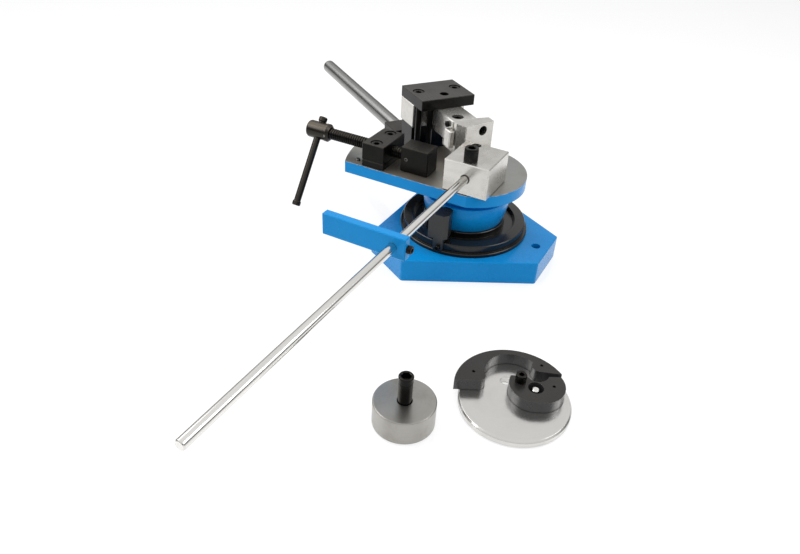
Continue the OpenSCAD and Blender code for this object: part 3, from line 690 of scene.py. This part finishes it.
@dataclass(frozen=True)
class TurnedSteel(Finish):
    """Steel faced and turned in a lathe, with rings on its top, bands on its side and a little oil."""

    slot: Slot = Slot.TURNED_STEEL
    colour: Colour = (0.560, 0.545, 0.515)
    shade: Colour = (0.400, 0.380, 0.345)
    edge: Colour = (0.850, 0.845, 0.830)
    # painted shade colour for corners and gaps
    crevice_shade: Colour = (0.035, 0.032, 0.028)
    centre: Point = (0.0, 0.0, 0.0)
    rough: float = 0.20
    oil: float = 0.26
    feed: float = 0.0016

    def marks(self, g: Graph) -> Wire:
        """Tool marks: rings on a face and bands on a side.

        Args:
            g: Graph to draw in.

        Returns:
            Height of the marks from 0 to 1.
        """
        radius = g.from_axis(self.centre)
        wander = g.noise(24.0, 2.0) * 2.0
        up = g.facing((0, 0, 1)).smooth(0.5, 0.9)
        rings = ((radius * (2.0 * math.pi / self.feed) + wander).sine() * 0.5 + 0.5) * up
        bands = g.noise(700.0, 3.0, 0.6, g.vector(0.0, 0.0, g.along((0, 0, 1)))) * (1.0 - up)
        tool = g.noise(300.0, 4.0, 0.6, g.vector(radius, 0.0, 0.0)) * up
        return rings * 0.25 + tool * 0.75 + bands

    def draw(self, g: Graph) -> None:
        """Draws the turned steel.

        Args:
            g: Graph to draw in.
        """
        marks = self.marks(g)
        # oil stains; the anvil uses the same name for its painted shadow ring
        oil_and_rim_shadow = g.noise(26.0, 5.0, 0.6).smooth(0.42, 0.80)
        body = g.mix(marks.smooth(0.30, 0.85) * 0.22, self.colour, self.shade)
        body = g.mix(oil_and_rim_shadow * self.oil, body, self.shade)
        body = g.mix(g.edges(0.0007) * 0.40, body, self.edge)
        # painted shade in corners and gaps
        body = g.mix(g.crevice(0.0035, 0.30, 0.52) * 0.90, body, self.crevice_shade)
        g.surface(
            Base_Color=body,
            Metallic=1.0,
            Roughness=self.rough + oil_and_rim_shadow * 0.08 + (marks - 0.4) * 0.06,
            Normal=g.bump(marks, 0.020, 0.0003, g.rounded(0.0008)),
        )


class Workbench:
    """Makes materials, dresses solids of the frame and adds new pieces."""

    SHARP = math.radians(32)

    def __init__(self, finishes: Sequence[Finish]) -> None:
        """Makes one material for each finish.

        Args:
            finishes: Finishes that serve a whole slot.
        """
        self.materials = {finish.slot: finish.material() for finish in finishes}

    def dress(self, slot: Slot, *nodes: str, finish: Optional[Finish] = None, name: str = "") -> None:
        """Puts one material on solids of the frame.

        Args:
            slot: Their slot in the record.
            *nodes: Names of the solids.
            finish: Finish to use instead of the slot's own.
            name: Name of that finish's material.
        """
        material = finish.material(name) if finish else self.materials[slot]
        for node in nodes:
            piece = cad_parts[node]
            piece.data.materials.clear()
            piece.data.materials.append(material)
            LOG.info("dressed %s in %s", node, slot.value)

    def add(self, name: str, mesh: bmesh.types.BMesh, body: Body, slot: Slot, node: str) -> None:
        """Adds a new piece that stands for a solid of the frame.

        Args:
            name: Name of the piece.
            mesh: Its faces in the row frame, in metres.
            body: Body that it rides on.
            slot: Its slot in the record.
            node: Solid that it stands for.
        """
        bmesh.ops.recalc_face_normals(mesh, faces=mesh.faces)
        data = bpy.data.meshes.new(name)
        mesh.to_mesh(data)
        mesh.free()
        data.materials.append(self.materials[slot])
        piece = bpy.data.objects.new(name, data)
        bpy.context.scene.collection.objects.link(piece)
        data.set_sharp_from_angle(angle=self.SHARP)
        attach(piece, body.value)
        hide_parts(node)
        LOG.info("built %s for %s", name, node)

    def screws(self, name: str, screw: "SocketScrew", body: Body, node: str, *places: Matrix) -> None:
        """Builds equal socket screws as one piece that stands for a solid of the frame.

        Args:
            name: Name of the piece.
            screw: Sizes of each screw.
            body: Body that they ride on.
            node: Solid that they stand for.
            *places: Place of each screw's seat, in millimetres.
        """
        mesh = bmesh.new()
        for place in places:
            screw.build(mesh, place)
        self.add(name, mesh, body, Slot.BLACK_SCREW, node)


class Lathe:
    """Builds closed meshes from rings of points, in millimetres before they are placed."""

    @staticmethod
    def circle(radius: float) -> Radius:
        """Ring of one radius."""
        return lambda angle: radius

    @staticmethod
    def hexagon(across: float) -> Radius:
        """Ring with six flats.

        Args:
            across: Width over two flats.

        Returns:
            Radius at an angle.
        """
        step = math.pi / 3

        def radius(angle: float) -> float:
            """Radius of the hexagon at an angle."""
            return across / 2 / math.cos((angle + step / 2) % step - step / 2)

        return radius

    @staticmethod
    def knurl(radius: float, teeth: int, depth: float) -> Radius:
        """Ring with straight knurling.

        Args:
            radius: Outer radius.
            teeth: Number of ridges.
            depth: Depth of the grooves.

        Returns:
            Radius at an angle.
        """

        def ridge(angle: float) -> float:
            """Radius of the knurl at an angle."""
            return radius - depth * abs(angle / (2 * math.pi) * teeth % 1 * 2 - 1)

        return ridge

    @staticmethod
    def loft(
        mesh: bmesh.types.BMesh, rings: Sequence[tuple[float, Radius]], segments: int, place: Matrix
    ) -> None:
        """Joins rings into one closed form.

        Args:
            mesh: Mesh to add to.
            rings: Heights and radii in order.
            segments: Points in each ring.
            place: Place of the form in millimetres.
        """
        angles = [2 * math.pi * i / segments for i in range(segments)]
        loops = []
        for height, radius in rings:
            points = [Vector((radius(a) * math.cos(a), radius(a) * math.sin(a), height)) for a in angles]
            loops.append([mesh.verts.new((place @ point) * MM) for point in points])
        for below, above in zip(loops, loops[1:]):
            for i in range(segments):
                j = (i + 1) % segments
                mesh.faces.new((below[i], below[j], above[j], above[i]))
        mesh.faces.new(list(reversed(loops[0])))
        mesh.faces.new(loops[-1])


@dataclass(frozen=True)
class SocketScrew:
    """Socket head screw with a knurled head, a hex socket and a chamfered shank, in millimetres."""

    shank: float
    length: float
    head: float
    height: float
    key: float
    teeth: int = 42
    lip: float = 1.2
    lip_share: float = 0.14
    knurl_share: float = 0.035
    floor_share: float = 0.42
    steps: int = 4

    def build(self, mesh: bmesh.types.BMesh, place: Matrix) -> None:
        """Adds the screw with its head's seat at the place's origin.

        Args:
            mesh: Mesh to add to.
            place: Place of the screw in millimetres.
        """
        r = self.head / 2
        top = self.height
        lip = min(self.lip, top * self.lip_share)
        ridge = Lathe.knurl(r, self.teeth, r * self.knurl_share)
        plain = Lathe.circle
        hexagon = Lathe.hexagon(self.key)
        floor = top * self.floor_share
        rings = [
            (-self.length, plain(self.shank * 0.38)),
            (-self.length + self.shank * 0.12, plain(self.shank / 2)),
            (0.0, plain(self.shank / 2)),
            (0.0, plain(r - lip * 0.6)),
            (lip * 0.6, ridge),
            (top - lip * 1.6, ridge),
            (top - lip * 1.3, plain(r * 0.965)),
            (top - lip * 0.5, plain(r * 0.955)),
            (top, plain(r - lip * 0.9)),
            (top, plain(self.key * 0.64)),
            (top - self.key * 0.06, hexagon),
            (floor, hexagon),
            (floor - self.key * 0.10, plain(self.key * 0.12)),
        ]
        Lathe.loft(mesh, rings, self.teeth * self.steps, place)


@dataclass(frozen=True)
class LeadScrew:
    """Vise screw with a square-shouldered thread, a spigot for the head and a plain tip, in millimetres."""

    low: float = -219.0
    high: float = -86.3
    spigot: float = 12.0
    tip: float = 18.0
    root: float = 7.5
    crest: float = 8.95
    pitch: float = 4.0
    runout: float = 2.0
    spigot_r: float = 6.5
    tip_r: float = 6.0
    chamfer: float = 1.0
    flat: float = 0.36
    flank: float = 0.28
    steps: int = 10
    segments: int = 48

    def depth(self, along: float, angle: float) -> float:
        """Height of the thread from its root.

        Args:
            along: Distance along the screw.
            angle: Angle round the screw.

        Returns:
            Share of the full height, from 0 to 1.
        """
        phase = (along / self.pitch - angle / (2 * math.pi)) % 1.0
        rise = min(phase, 1.0 - phase) * 2
        return min(1.0, max(0.0, (rise - self.flat) / self.flank))

    def build(self, mesh: bmesh.types.BMesh, place: Matrix) -> None:
        """Adds the screw.

        Args:
            mesh: Mesh to add to.
            place: Place that turns z into the screw's axis.
        """
        low, high = self.low, self.high
        count = int((high - low) / self.pitch * self.steps)
        rings: list[tuple[float, Radius]] = [
            (low - self.spigot, Lathe.circle(self.spigot_r - 0.3)),
            (low - self.spigot + 0.5, Lathe.circle(self.spigot_r)),
            (low, Lathe.circle(self.spigot_r)),
        ]
        for i in range(count + 1):
            at = low + (high - low) * i / count
            fade = min(1.0, (at - low) / self.runout, (high - at) / self.runout)
            rings.append((at, self._ring(at, fade)))
        rings += [
            (high, Lathe.circle(self.tip_r)),
            (high + self.tip - self.chamfer, Lathe.circle(self.tip_r)),
            (high + self.tip, Lathe.circle(self.tip_r - self.chamfer)),
        ]
        Lathe.loft(mesh, rings, self.segments, place)

    def _ring(self, at: float, fade: float) -> Radius:
        """Ring of the thread at one place.

        Args:
            at: Distance along the screw.
            fade: Share of the thread's full height.

        Returns:
            Radius at an angle.
        """
        return lambda angle: self.root + (self.crest - self.root) * fade * self.depth(at, angle)


def upright(x: float, y: float, z: float) -> Matrix:
    """Place of an upright piece, in millimetres."""
    return Matrix.Translation((x, y, z))


def level(x: float, y: float, z: float, heading: float) -> Matrix:
    """Place of a level piece whose head points along a heading in degrees."""
    turn = Matrix.Rotation(math.radians(heading), 4, "Z")
    return upright(x, y, z) @ turn @ Matrix.Rotation(math.pi / 2, 4, "Y")


@dataclass
class Base:
    """Base plate, column, stop ring and the bolts under them."""

    # column paint lighter than the other blue parts, as painted light against the shade under the table
    column: MachinePaint = MachinePaint(colour=(0.004, 0.295, 0.735), deep=(0.003, 0.230, 0.620))
    ring: BlackOxide = BlackOxide(rough=0.20, metal=0.30, brown=(0.018, 0.017, 0.015), wear=0.22)

    def build(self, bench: Workbench) -> None:
        """Dresses the standing part below the table.

        Args:
            bench: Workbench with the finishes.
        """
        bench.dress(Slot.BLUE_PAINT, "base_plate")
        bench.dress(Slot.BLUE_PAINT, "column", finish=self.column, name="lit_column_paint")
        bench.dress(Slot.BLACK_OXIDE, "stop_ring", finish=self.ring, name="ring_black")
        bench.dress(Slot.BLACK_SCREW, "column_bolts", "table_screws", "anvil_bolts")


@dataclass
class Table:
    """Table with its dowel, the anvil block and the screw that clamps the rod."""

    dowel: DrawnBar = DrawnBar(colour=(0.16, 0.16, 0.15), shade=(0.09, 0.09, 0.085), rough=0.30)
    clamp_at: Point = (26.5, -67.0, 180.3)
    clamp: SocketScrew = SocketScrew(10.0, 16.0, 20.0, 20.0, 10.0, 48)

    def build(self, bench: Workbench) -> None:
        """Dresses the table and the anvil, and builds the clamp screw.

        Args:
            bench: Workbench with the finishes.
        """
        bench.dress(Slot.TABLE_STEEL, "table")
        bench.dress(Slot.BAR_STEEL, "table_dowel", finish=self.dowel, name="dowel_steel")
        bench.dress(Slot.GROUND_STEEL, "anvil_block", finish=AnvilSteel(), name="anvil_steel")
        place = upright(*self.clamp_at)
        bench.screws("rod_clamp_socket_screw", self.clamp, Body.ROD_SCREW, "rod_clamp_screw", place)


@dataclass
class Vise:
    """Nut block with its bolts, sliding jaw, threaded screw, T-head and tommy bar."""

    axis_y: float = -47.0
    axis_z: float = 152.0
    bolt_x: float = -124.5
    bolt_y: float = 21.0
    bolt_seat: float = 158.0
    bolt: SocketScrew = SocketScrew(10.0, 37.0, 18.0, 10.0, 8.0)
    screw: LeadScrew = LeadScrew()
    dull: DrawnBar = DrawnBar(colour=(0.20, 0.19, 0.17), shade=(0.10, 0.09, 0.08), rough=0.30)
    # lighter copy of the screw's black as painted light, with a stronger painted brown sheen on top faces
    lit_head_black: BlackOxide = BlackOxide(
        colour=(0.034, 0.031, 0.027),
        brown=(0.095, 0.080, 0.062),
        rough=0.25,
        metal=0.86,
        lines=(1.0, 0.0, 0.0),
    )

    def build(self, bench: Workbench) -> None:
        """Dresses the blocks and builds the bolts and the threaded screw.

        Args:
            bench: Workbench with the finishes.
        """
        bench.dress(Slot.BLACK_OXIDE, "nut_pad", "nut_block", "vise_jaw")
        bench.dress(Slot.BAR_STEEL, "jaw_grub_screw", "screw_head_pin", finish=self.dull, name="dull_steel")
        turned = ("screw_head", "tommy_bar", "tommy_knobs")
        bench.dress(Slot.VISE_SCREW, *turned, finish=self.lit_head_black, name="lit_head_black_oxide")
        seats = [
            upright(self.bolt_x, self.axis_y + side * self.bolt_y, self.bolt_seat) for side in (-1, 1)
        ]
        bench.screws("nut_block_socket_bolts", self.bolt, Body.BASE, "nut_bolts", *seats)
        thread = bmesh.new()
        self.screw.build(thread, level(0.0, self.axis_y, self.axis_z, 0.0))
        bench.add("threaded_vise_screw", thread, Body.SCREW, Slot.VISE_SCREW, "vise_screw")


@dataclass
class LengthStop:
    """Stop rod, stop bar and the bar's clamp screw."""

    screw_at: Point = (44.3, -283.0, 157.0)
    screw: SocketScrew = SocketScrew(6.0, 11.0, 10.5, 6.0, 5.0, 30)

    def build(self, bench: Workbench) -> None:
        """Dresses the rod and the bar, and builds the clamp screw.

        Args:
            bench: Workbench with the finishes.
        """
        bench.dress(Slot.BAR_STEEL, "stop_rod")
        bench.dress(Slot.BLUE_PAINT, "stop_bar")
        place = level(*self.screw_at, 0.0)
        bench.screws("stop_bar_socket_screw", self.screw, Body.LENGTH_STOP_SCREW, "stop_bar_screw", place)


@dataclass
class AngleStop:
    """Angle stop on the ring and its clamp screw."""

    heading: float = -88.0
    screw_r: float = 101.3
    screw_z: float = 47.0
    screw: SocketScrew = SocketScrew(5.0, 4.6, 8.5, 5.0, 4.0, 24)
    # lighter copy of the black oxide as painted light, with its edge wear raised to stand in for edge
    # highlights
    black: BlackOxide = BlackOxide(
        colour=(0.034, 0.034, 0.033), brown=(0.022, 0.022, 0.022), metal=0.45, wear=0.90
    )

    def build(self, bench: Workbench) -> None:
        """Dresses the stop and builds its clamp screw.

        Args:
            bench: Workbench with the finishes.
        """
        bench.dress(Slot.BLACK_OXIDE, "angle_stop", finish=self.black, name="lit_stop_black")
        turn = math.radians(self.heading)
        x, y = self.screw_r * math.cos(turn), self.screw_r * math.sin(turn)
        place = level(x, y, self.screw_z, self.heading)
        bench.screws("angle_stop_socket_screw", self.screw, Body.ANGLE_STOP_CLAMP, "angle_stop_screw", place)


@dataclass
class BendingArm:
    """Swinging arm with its bar, head, finger, top plate, pillars and lever."""

    angle: float = 144.0
    plate_screws: tuple[Point, Point] = ((120.0, -32.0, 205.0), (120.0, 32.0, 205.0))
    head_screw: Point = (45.0, 2.0, 188.0)
    finger_screw: Point = (44.5, 17.75, 190.0)
    bolt: SocketScrew = SocketScrew(10.0, 23.0, 18.0, 10.0, 8.0)
    small: SocketScrew = SocketScrew(5.0, 4.5, 9.0, 4.0, 4.0, 24)
    # stronger brown on top faces, a painted sheen where the top plate reflects the sky
    black: BlackOxide = BlackOxide(brown=(0.085, 0.080, 0.072), metal=0.76)
    ground: GroundSteel = GroundSteel(rough=0.22, metal=0.76)
    lever: DrawnBar = DrawnBar(colour=(0.27, 0.27, 0.262), shade=(0.17, 0.17, 0.165), rough=0.22)

    def place(self, x: float, y: float, z: float) -> Matrix:
        """Place in the arm's own axes, in millimetres."""
        return Matrix.Rotation(math.radians(self.angle), 4, "Z") @ upright(x, y, z)

    def build(self, bench: Workbench) -> None:
        """Dresses the arm and builds its screws.

        Args:
            bench: Workbench with the finishes.
        """
        turn = math.radians(self.angle)
        lengthwise = (math.cos(turn), math.sin(turn), 0.0)
        black, ground, lever = (
            replace(finish, lines=lengthwise) for finish in (self.black, self.ground, self.lever)
        )
        bench.dress(Slot.BLUE_PAINT, "arm_plate", finish=ArmPaint(), name="arm_paint")
        dark = ("arm_upright", "top_plate", "arm_pillars")
        bench.dress(Slot.BLACK_OXIDE, *dark, finish=black, name="arm_black")
        bench.dress(Slot.BLACK_OXIDE, "lever_socket")
        bright = ("arm_bar", "bending_head", "bending_finger")
        bench.dress(Slot.GROUND_STEEL, *bright, finish=ground, name="arm_ground_steel")
        bench.dress(Slot.BAR_STEEL, "lever_handle", finish=lever, name="lever_steel")
        bench.dress(Slot.BLACK_SCREW, "lever_socket_screws")
        seats = [self.place(*at) for at in self.plate_screws]
        bench.screws("top_plate_socket_screws", self.bolt, Body.ARM, "top_plate_screws", *seats)
        seat = self.place(*self.head_screw)
        bench.screws("head_socket_screw", self.bolt, Body.ARM, "bending_head_screw", seat)
        seat = self.place(*self.finger_screw) @ Matrix.Rotation(-math.pi / 2, 4, "X")
        bench.screws("finger_socket_screw", self.small, Body.ARM, "bending_finger_screw", seat)


@dataclass
class Mandrel:
    """Loose turned mandrel with its black socket-headed post."""

    at: tuple[float, float] = (105.0, -390.0)
    foot: float = 5.0
    top: float = 71.0
    radius: float = 8.9
    neck: float = 8.3
    head: float = 9.5
    mouth: float = 6.4
    key: float = 10.36
    depth: float = 9.0
    segments: int = 96
    steel: TurnedSteel = TurnedSteel(
        colour=(0.375, 0.363, 0.338), shade=(0.205, 0.189, 0.164), rough=0.30, oil=0.62
    )

    def build(self, bench: Workbench) -> None:
        """Dresses the mandrel and builds its post.

        Args:
            bench: Workbench with the finishes.
        """
        x, y = self.at
        steel = replace(self.steel, centre=(x * MM, y * MM, 0.0))
        bench.dress(Slot.TURNED_STEEL, "mandrel", finish=steel, name="mandrel_steel")
        ring = Lathe.circle
        hexagon = Lathe.hexagon(self.key)
        shoulder = self.top - self.head
        rings = [
            (self.foot, ring(self.neck - 1.0)),
            (self.foot + 1.0, ring(self.neck)),
            (shoulder - 0.6, ring(self.neck)),
            (shoulder, ring(self.neck - 0.4)),
            (shoulder + 0.5, ring(self.radius - 0.3)),
            (shoulder + 0.9, ring(self.radius)),
            (self.top - 1.4, ring(self.radius)),
            (self.top - 0.5, ring(self.radius - 0.6)),
            (self.top, ring(self.radius - 1.5)),
            (self.top, ring(self.mouth)),
            (self.top - 0.8, hexagon),
            (self.top - self.depth, hexagon),
            (self.top - self.depth - 1.0, ring(1.0)),
        ]
        mesh = bmesh.new()
        Lathe.loft(mesh, rings, self.segments, upright(x, y, 0.0))
        bench.add("mandrel_socket_post", mesh, Body.MANDREL, Slot.BLACK_SCREW, "mandrel_post")


@dataclass
class ScrollFormer:
    """Loose scroll former: faced disc, two black formers, socket bolt, pin and small screws."""

    at: tuple[float, float] = (206.8, -298.8)
    turn: float = 28.0
    bolt_at: Point = (6.8, 15.0, 25.0)
    bolt: SocketScrew = SocketScrew(8.0, 23.5, 13.5, 11.0, 6.0, 36)
    steel: TurnedSteel = TurnedSteel(colour=(0.66, 0.65, 0.63), shade=(0.52, 0.51, 0.49), rough=0.19)

    def build(self, bench: Workbench) -> None:
        """Dresses the former and builds its bolt.

        Args:
            bench: Workbench with the finishes.
        """
        x, y = self.at
        steel = replace(self.steel, centre=(x * MM, y * MM, 0.0))
        bench.dress(Slot.TURNED_STEEL, "scroll_disc", finish=steel, name="disc_steel")
        bench.dress(Slot.FORMER_BLACK, "scroll_outer", "scroll_inner")
        bench.dress(Slot.BAR_STEEL, "scroll_pin")
        bench.dress(Slot.BLACK_SCREW, "scroll_screws")
        seat = upright(x, y, 0.0) @ Matrix.Rotation(math.radians(self.turn), 4, "Z") @ upright(*self.bolt_at)
        bench.screws("former_socket_bolt", self.bolt, Body.SCROLL, "scroll_bolt", seat)


@dataclass(frozen=True)
class SoftBox:
    """Rectangular lamp, with its place, target and size in metres and its power in watts."""

    name: str
    at: Point
    target: Point
    width: float
    height: float
    power: float


@dataclass
class Studio:
    """Pale floor, soft light and the camera at the photographed angle."""

    eye: Point = (0.346, -0.892, 0.596)
    right: Point = (0.8784, 0.4754, 0.0490)
    up: Point = (-0.3098, 0.4882, 0.8159)
    lens: float = 30.91
    sensor: float = 36.0
    shift: float = -0.0066
    near: float = 0.02
    far: float = 60.0
    floor_half: float = 9.0
    floor_z: float = -0.0003
    floor_colour: Colour = (0.96, 0.96, 0.965)
    floor_rough: float = 0.08
    floor_coat: float = 0.6
    floor_white: float = 0.60
    floor_glow: float = 1.15
    sun: float = 0.8
    sun_at: Point = (-2.10, 0.15, 2.10)
    sun_spread: float = 50.0
    boxes: tuple[SoftBox, ...] = (
        SoftBox("left_box", (-1.3, -0.9, 1.4), (0.0, -0.15, 0.1), 1.3, 0.8, 9.0),
        SoftBox("right_box", (1.3, 0.3, 1.2), (0.0, -0.1, 0.1), 1.0, 0.6, 6.0),
    )
    sky: float = 0.98
    sky_steps: tuple[tuple[float, float], ...] = (
        (0.0, 0.30), (0.12, 0.12), (0.24, 0.34), (0.42, 0.86), (1.0, 1.0),
    )
    white: Colour = (1.0, 1.0, 1.0)

    def build(self) -> None:
        """Sets up floor, world, lamps, camera and view."""
        self._floor()
        self._world()
        self._lamps()
        self._camera()
        bpy.context.scene.view_settings.view_transform = "Standard"
        LOG.info("built floor, lamps and camera")

    def _floor(self) -> None:
        """Lays the pale floor, which shows white to the camera and keeps a soft shadow."""
        half = self.floor_half
        mesh = bmesh.new()
        corners = [(-half, -half), (half, -half), (half, half), (-half, half)]
        mesh.faces.new([mesh.verts.new((x, y, self.floor_z)) for x, y in corners])
        data = bpy.data.meshes.new("floor")
        mesh.to_mesh(data)
        mesh.free()
        floor = bpy.data.objects.new("floor", data)
        bpy.context.scene.collection.objects.link(floor)
        made = bpy.data.materials.new("pale_floor")
        made.use_nodes = True
        g = Graph(made.node_tree)
        seen = self._seen(g)
        gloss = {
            "Base Color": self.floor_colour,
            "Roughness": self.floor_rough,
            "Specular IOR Level": 1.0,
            "Coat Weight": self.floor_coat,
        }
        lit = g.node("ShaderNodeBsdfPrincipled", None, gloss)
        glow = g.node("ShaderNodeEmission", None, {"Color": self.white, "Strength": self.floor_glow})
        both = g.node("ShaderNodeMixShader", None, {0: seen * self.floor_white, 1: lit, 2: glow})
        g.node("ShaderNodeOutputMaterial", None, {"Surface": both})
        data.materials.append(made)

    @staticmethod
    def _seen(g: Graph) -> Wire:
        """1 for rays from the camera, from metal and through glass.

        Args:
            g: Graph to draw in.

        Returns:
            The switch as a wire.
        """
        camera = g.node("ShaderNodeLightPath", out="Is Camera Ray")
        glossy = g.node("ShaderNodeLightPath", out="Is Glossy Ray")
        through = g.node("ShaderNodeLightPath", out="Is Transmission Ray")
        return camera.higher(glossy).higher(through)

    def _world(self) -> None:
        """Lights the set with a sky that is dark round the horizon and pale overhead."""
        world = bpy.data.worlds.new("soft_sky")
        world.use_nodes = True
        bpy.context.scene.world = world
        g = Graph(world.node_tree)
        height = g.dot(g.node("ShaderNodeTexCoord", out="Generated"), (0.0, 0.0, 1.0))
        stops = [(place, (grey, grey, grey)) for place, grey in self.sky_steps]
        tint = g.node("ShaderNodeValToRGB", {"stops": stops}, {"Fac": height})
        camera = g.node("ShaderNodeLightPath", out="Is Camera Ray")
        sky = g.node("ShaderNodeBackground", None, {"Color": tint, "Strength": self.sky})
        backdrop = g.node("ShaderNodeBackground", None, {"Color": self.white, "Strength": 1.0})
        both = g.node("ShaderNodeMixShader", None, {0: camera, 1: sky, 2: backdrop})
        g.node("ShaderNodeOutputWorld", None, {"Surface": both})

    def _lamps(self) -> None:
        """Hangs a wide soft sun and the soft boxes."""
        sun = bpy.data.lights.new("soft_sun", "SUN")
        sun.energy = self.sun
        sun.angle = math.radians(self.sun_spread)
        self._aim(sun, Vector(self.sun_at), Vector((0, 0, 0)))
        for box in self.boxes:
            lamp = bpy.data.lights.new(box.name, "AREA")
            lamp.shape = "RECTANGLE"
            lamp.size, lamp.size_y, lamp.energy = box.width, box.height, box.power
            self._aim(lamp, Vector(box.at), Vector(box.target))

    @staticmethod
    def _aim(light: bpy.types.Light, at: Vector, target: Vector) -> None:
        """Hangs a lamp and turns it to a target.

        Args:
            light: Lamp to hang.
            at: Its place in metres.
            target: Point that it shines at.
        """
        lamp = bpy.data.objects.new(light.name, light)
        lamp.location = at
        lamp.rotation_euler = (target - at).to_track_quat("-Z", "Y").to_euler()
        bpy.context.scene.collection.objects.link(lamp)

    def _camera(self) -> None:
        """Sets the camera where the photograph was taken from."""
        data = bpy.data.cameras.new("photo_camera")
        data.sensor_width = self.sensor
        data.lens = self.lens
        data.shift_x = self.shift
        data.clip_start, data.clip_end = self.near, self.far
        camera = bpy.data.objects.new("photo_camera", data)
        right, up = Vector(self.right).normalized(), Vector(self.up).normalized()
        turn = Matrix((right, up, right.cross(up))).transposed().to_4x4()
        camera.matrix_world = Matrix.Translation(self.eye) @ turn
        bpy.context.scene.collection.objects.link(camera)
        bpy.context.scene.camera = camera


def main() -> None:
    """Builds all sub-assemblies in order and reports each piece."""
    logging.basicConfig(level=logging.INFO, format="%(name)s: %(message)s")
    finishes = [
        MachinePaint(),
        TableFinish(),
        BlackOxide(),
        BlackOxide(slot=Slot.BLACK_SCREW, rough=0.30, brown=(0.026, 0.024, 0.021)),
        BlackOxide(slot=Slot.VISE_SCREW, rough=0.28, brown=(0.050, 0.042, 0.032), lines=(1.0, 0.0, 0.0)),
        DrawnBar(),
        BlackOxide(
            slot=Slot.FORMER_BLACK,
            colour=(0.090, 0.090, 0.092),
            brown=(0.034, 0.031, 0.028),
            rough=0.30,
            metal=0.66,
            wear=0.85,
        ),
    ]
    bench = Workbench(finishes)
    for assembly in (
        Base(), Table(), Vise(), LengthStop(), AngleStop(), BendingArm(), Mandrel(), ScrollFormer(),
    ):
        assembly.build(bench)
    Studio().build()


if __name__ == "__main__":
    main()
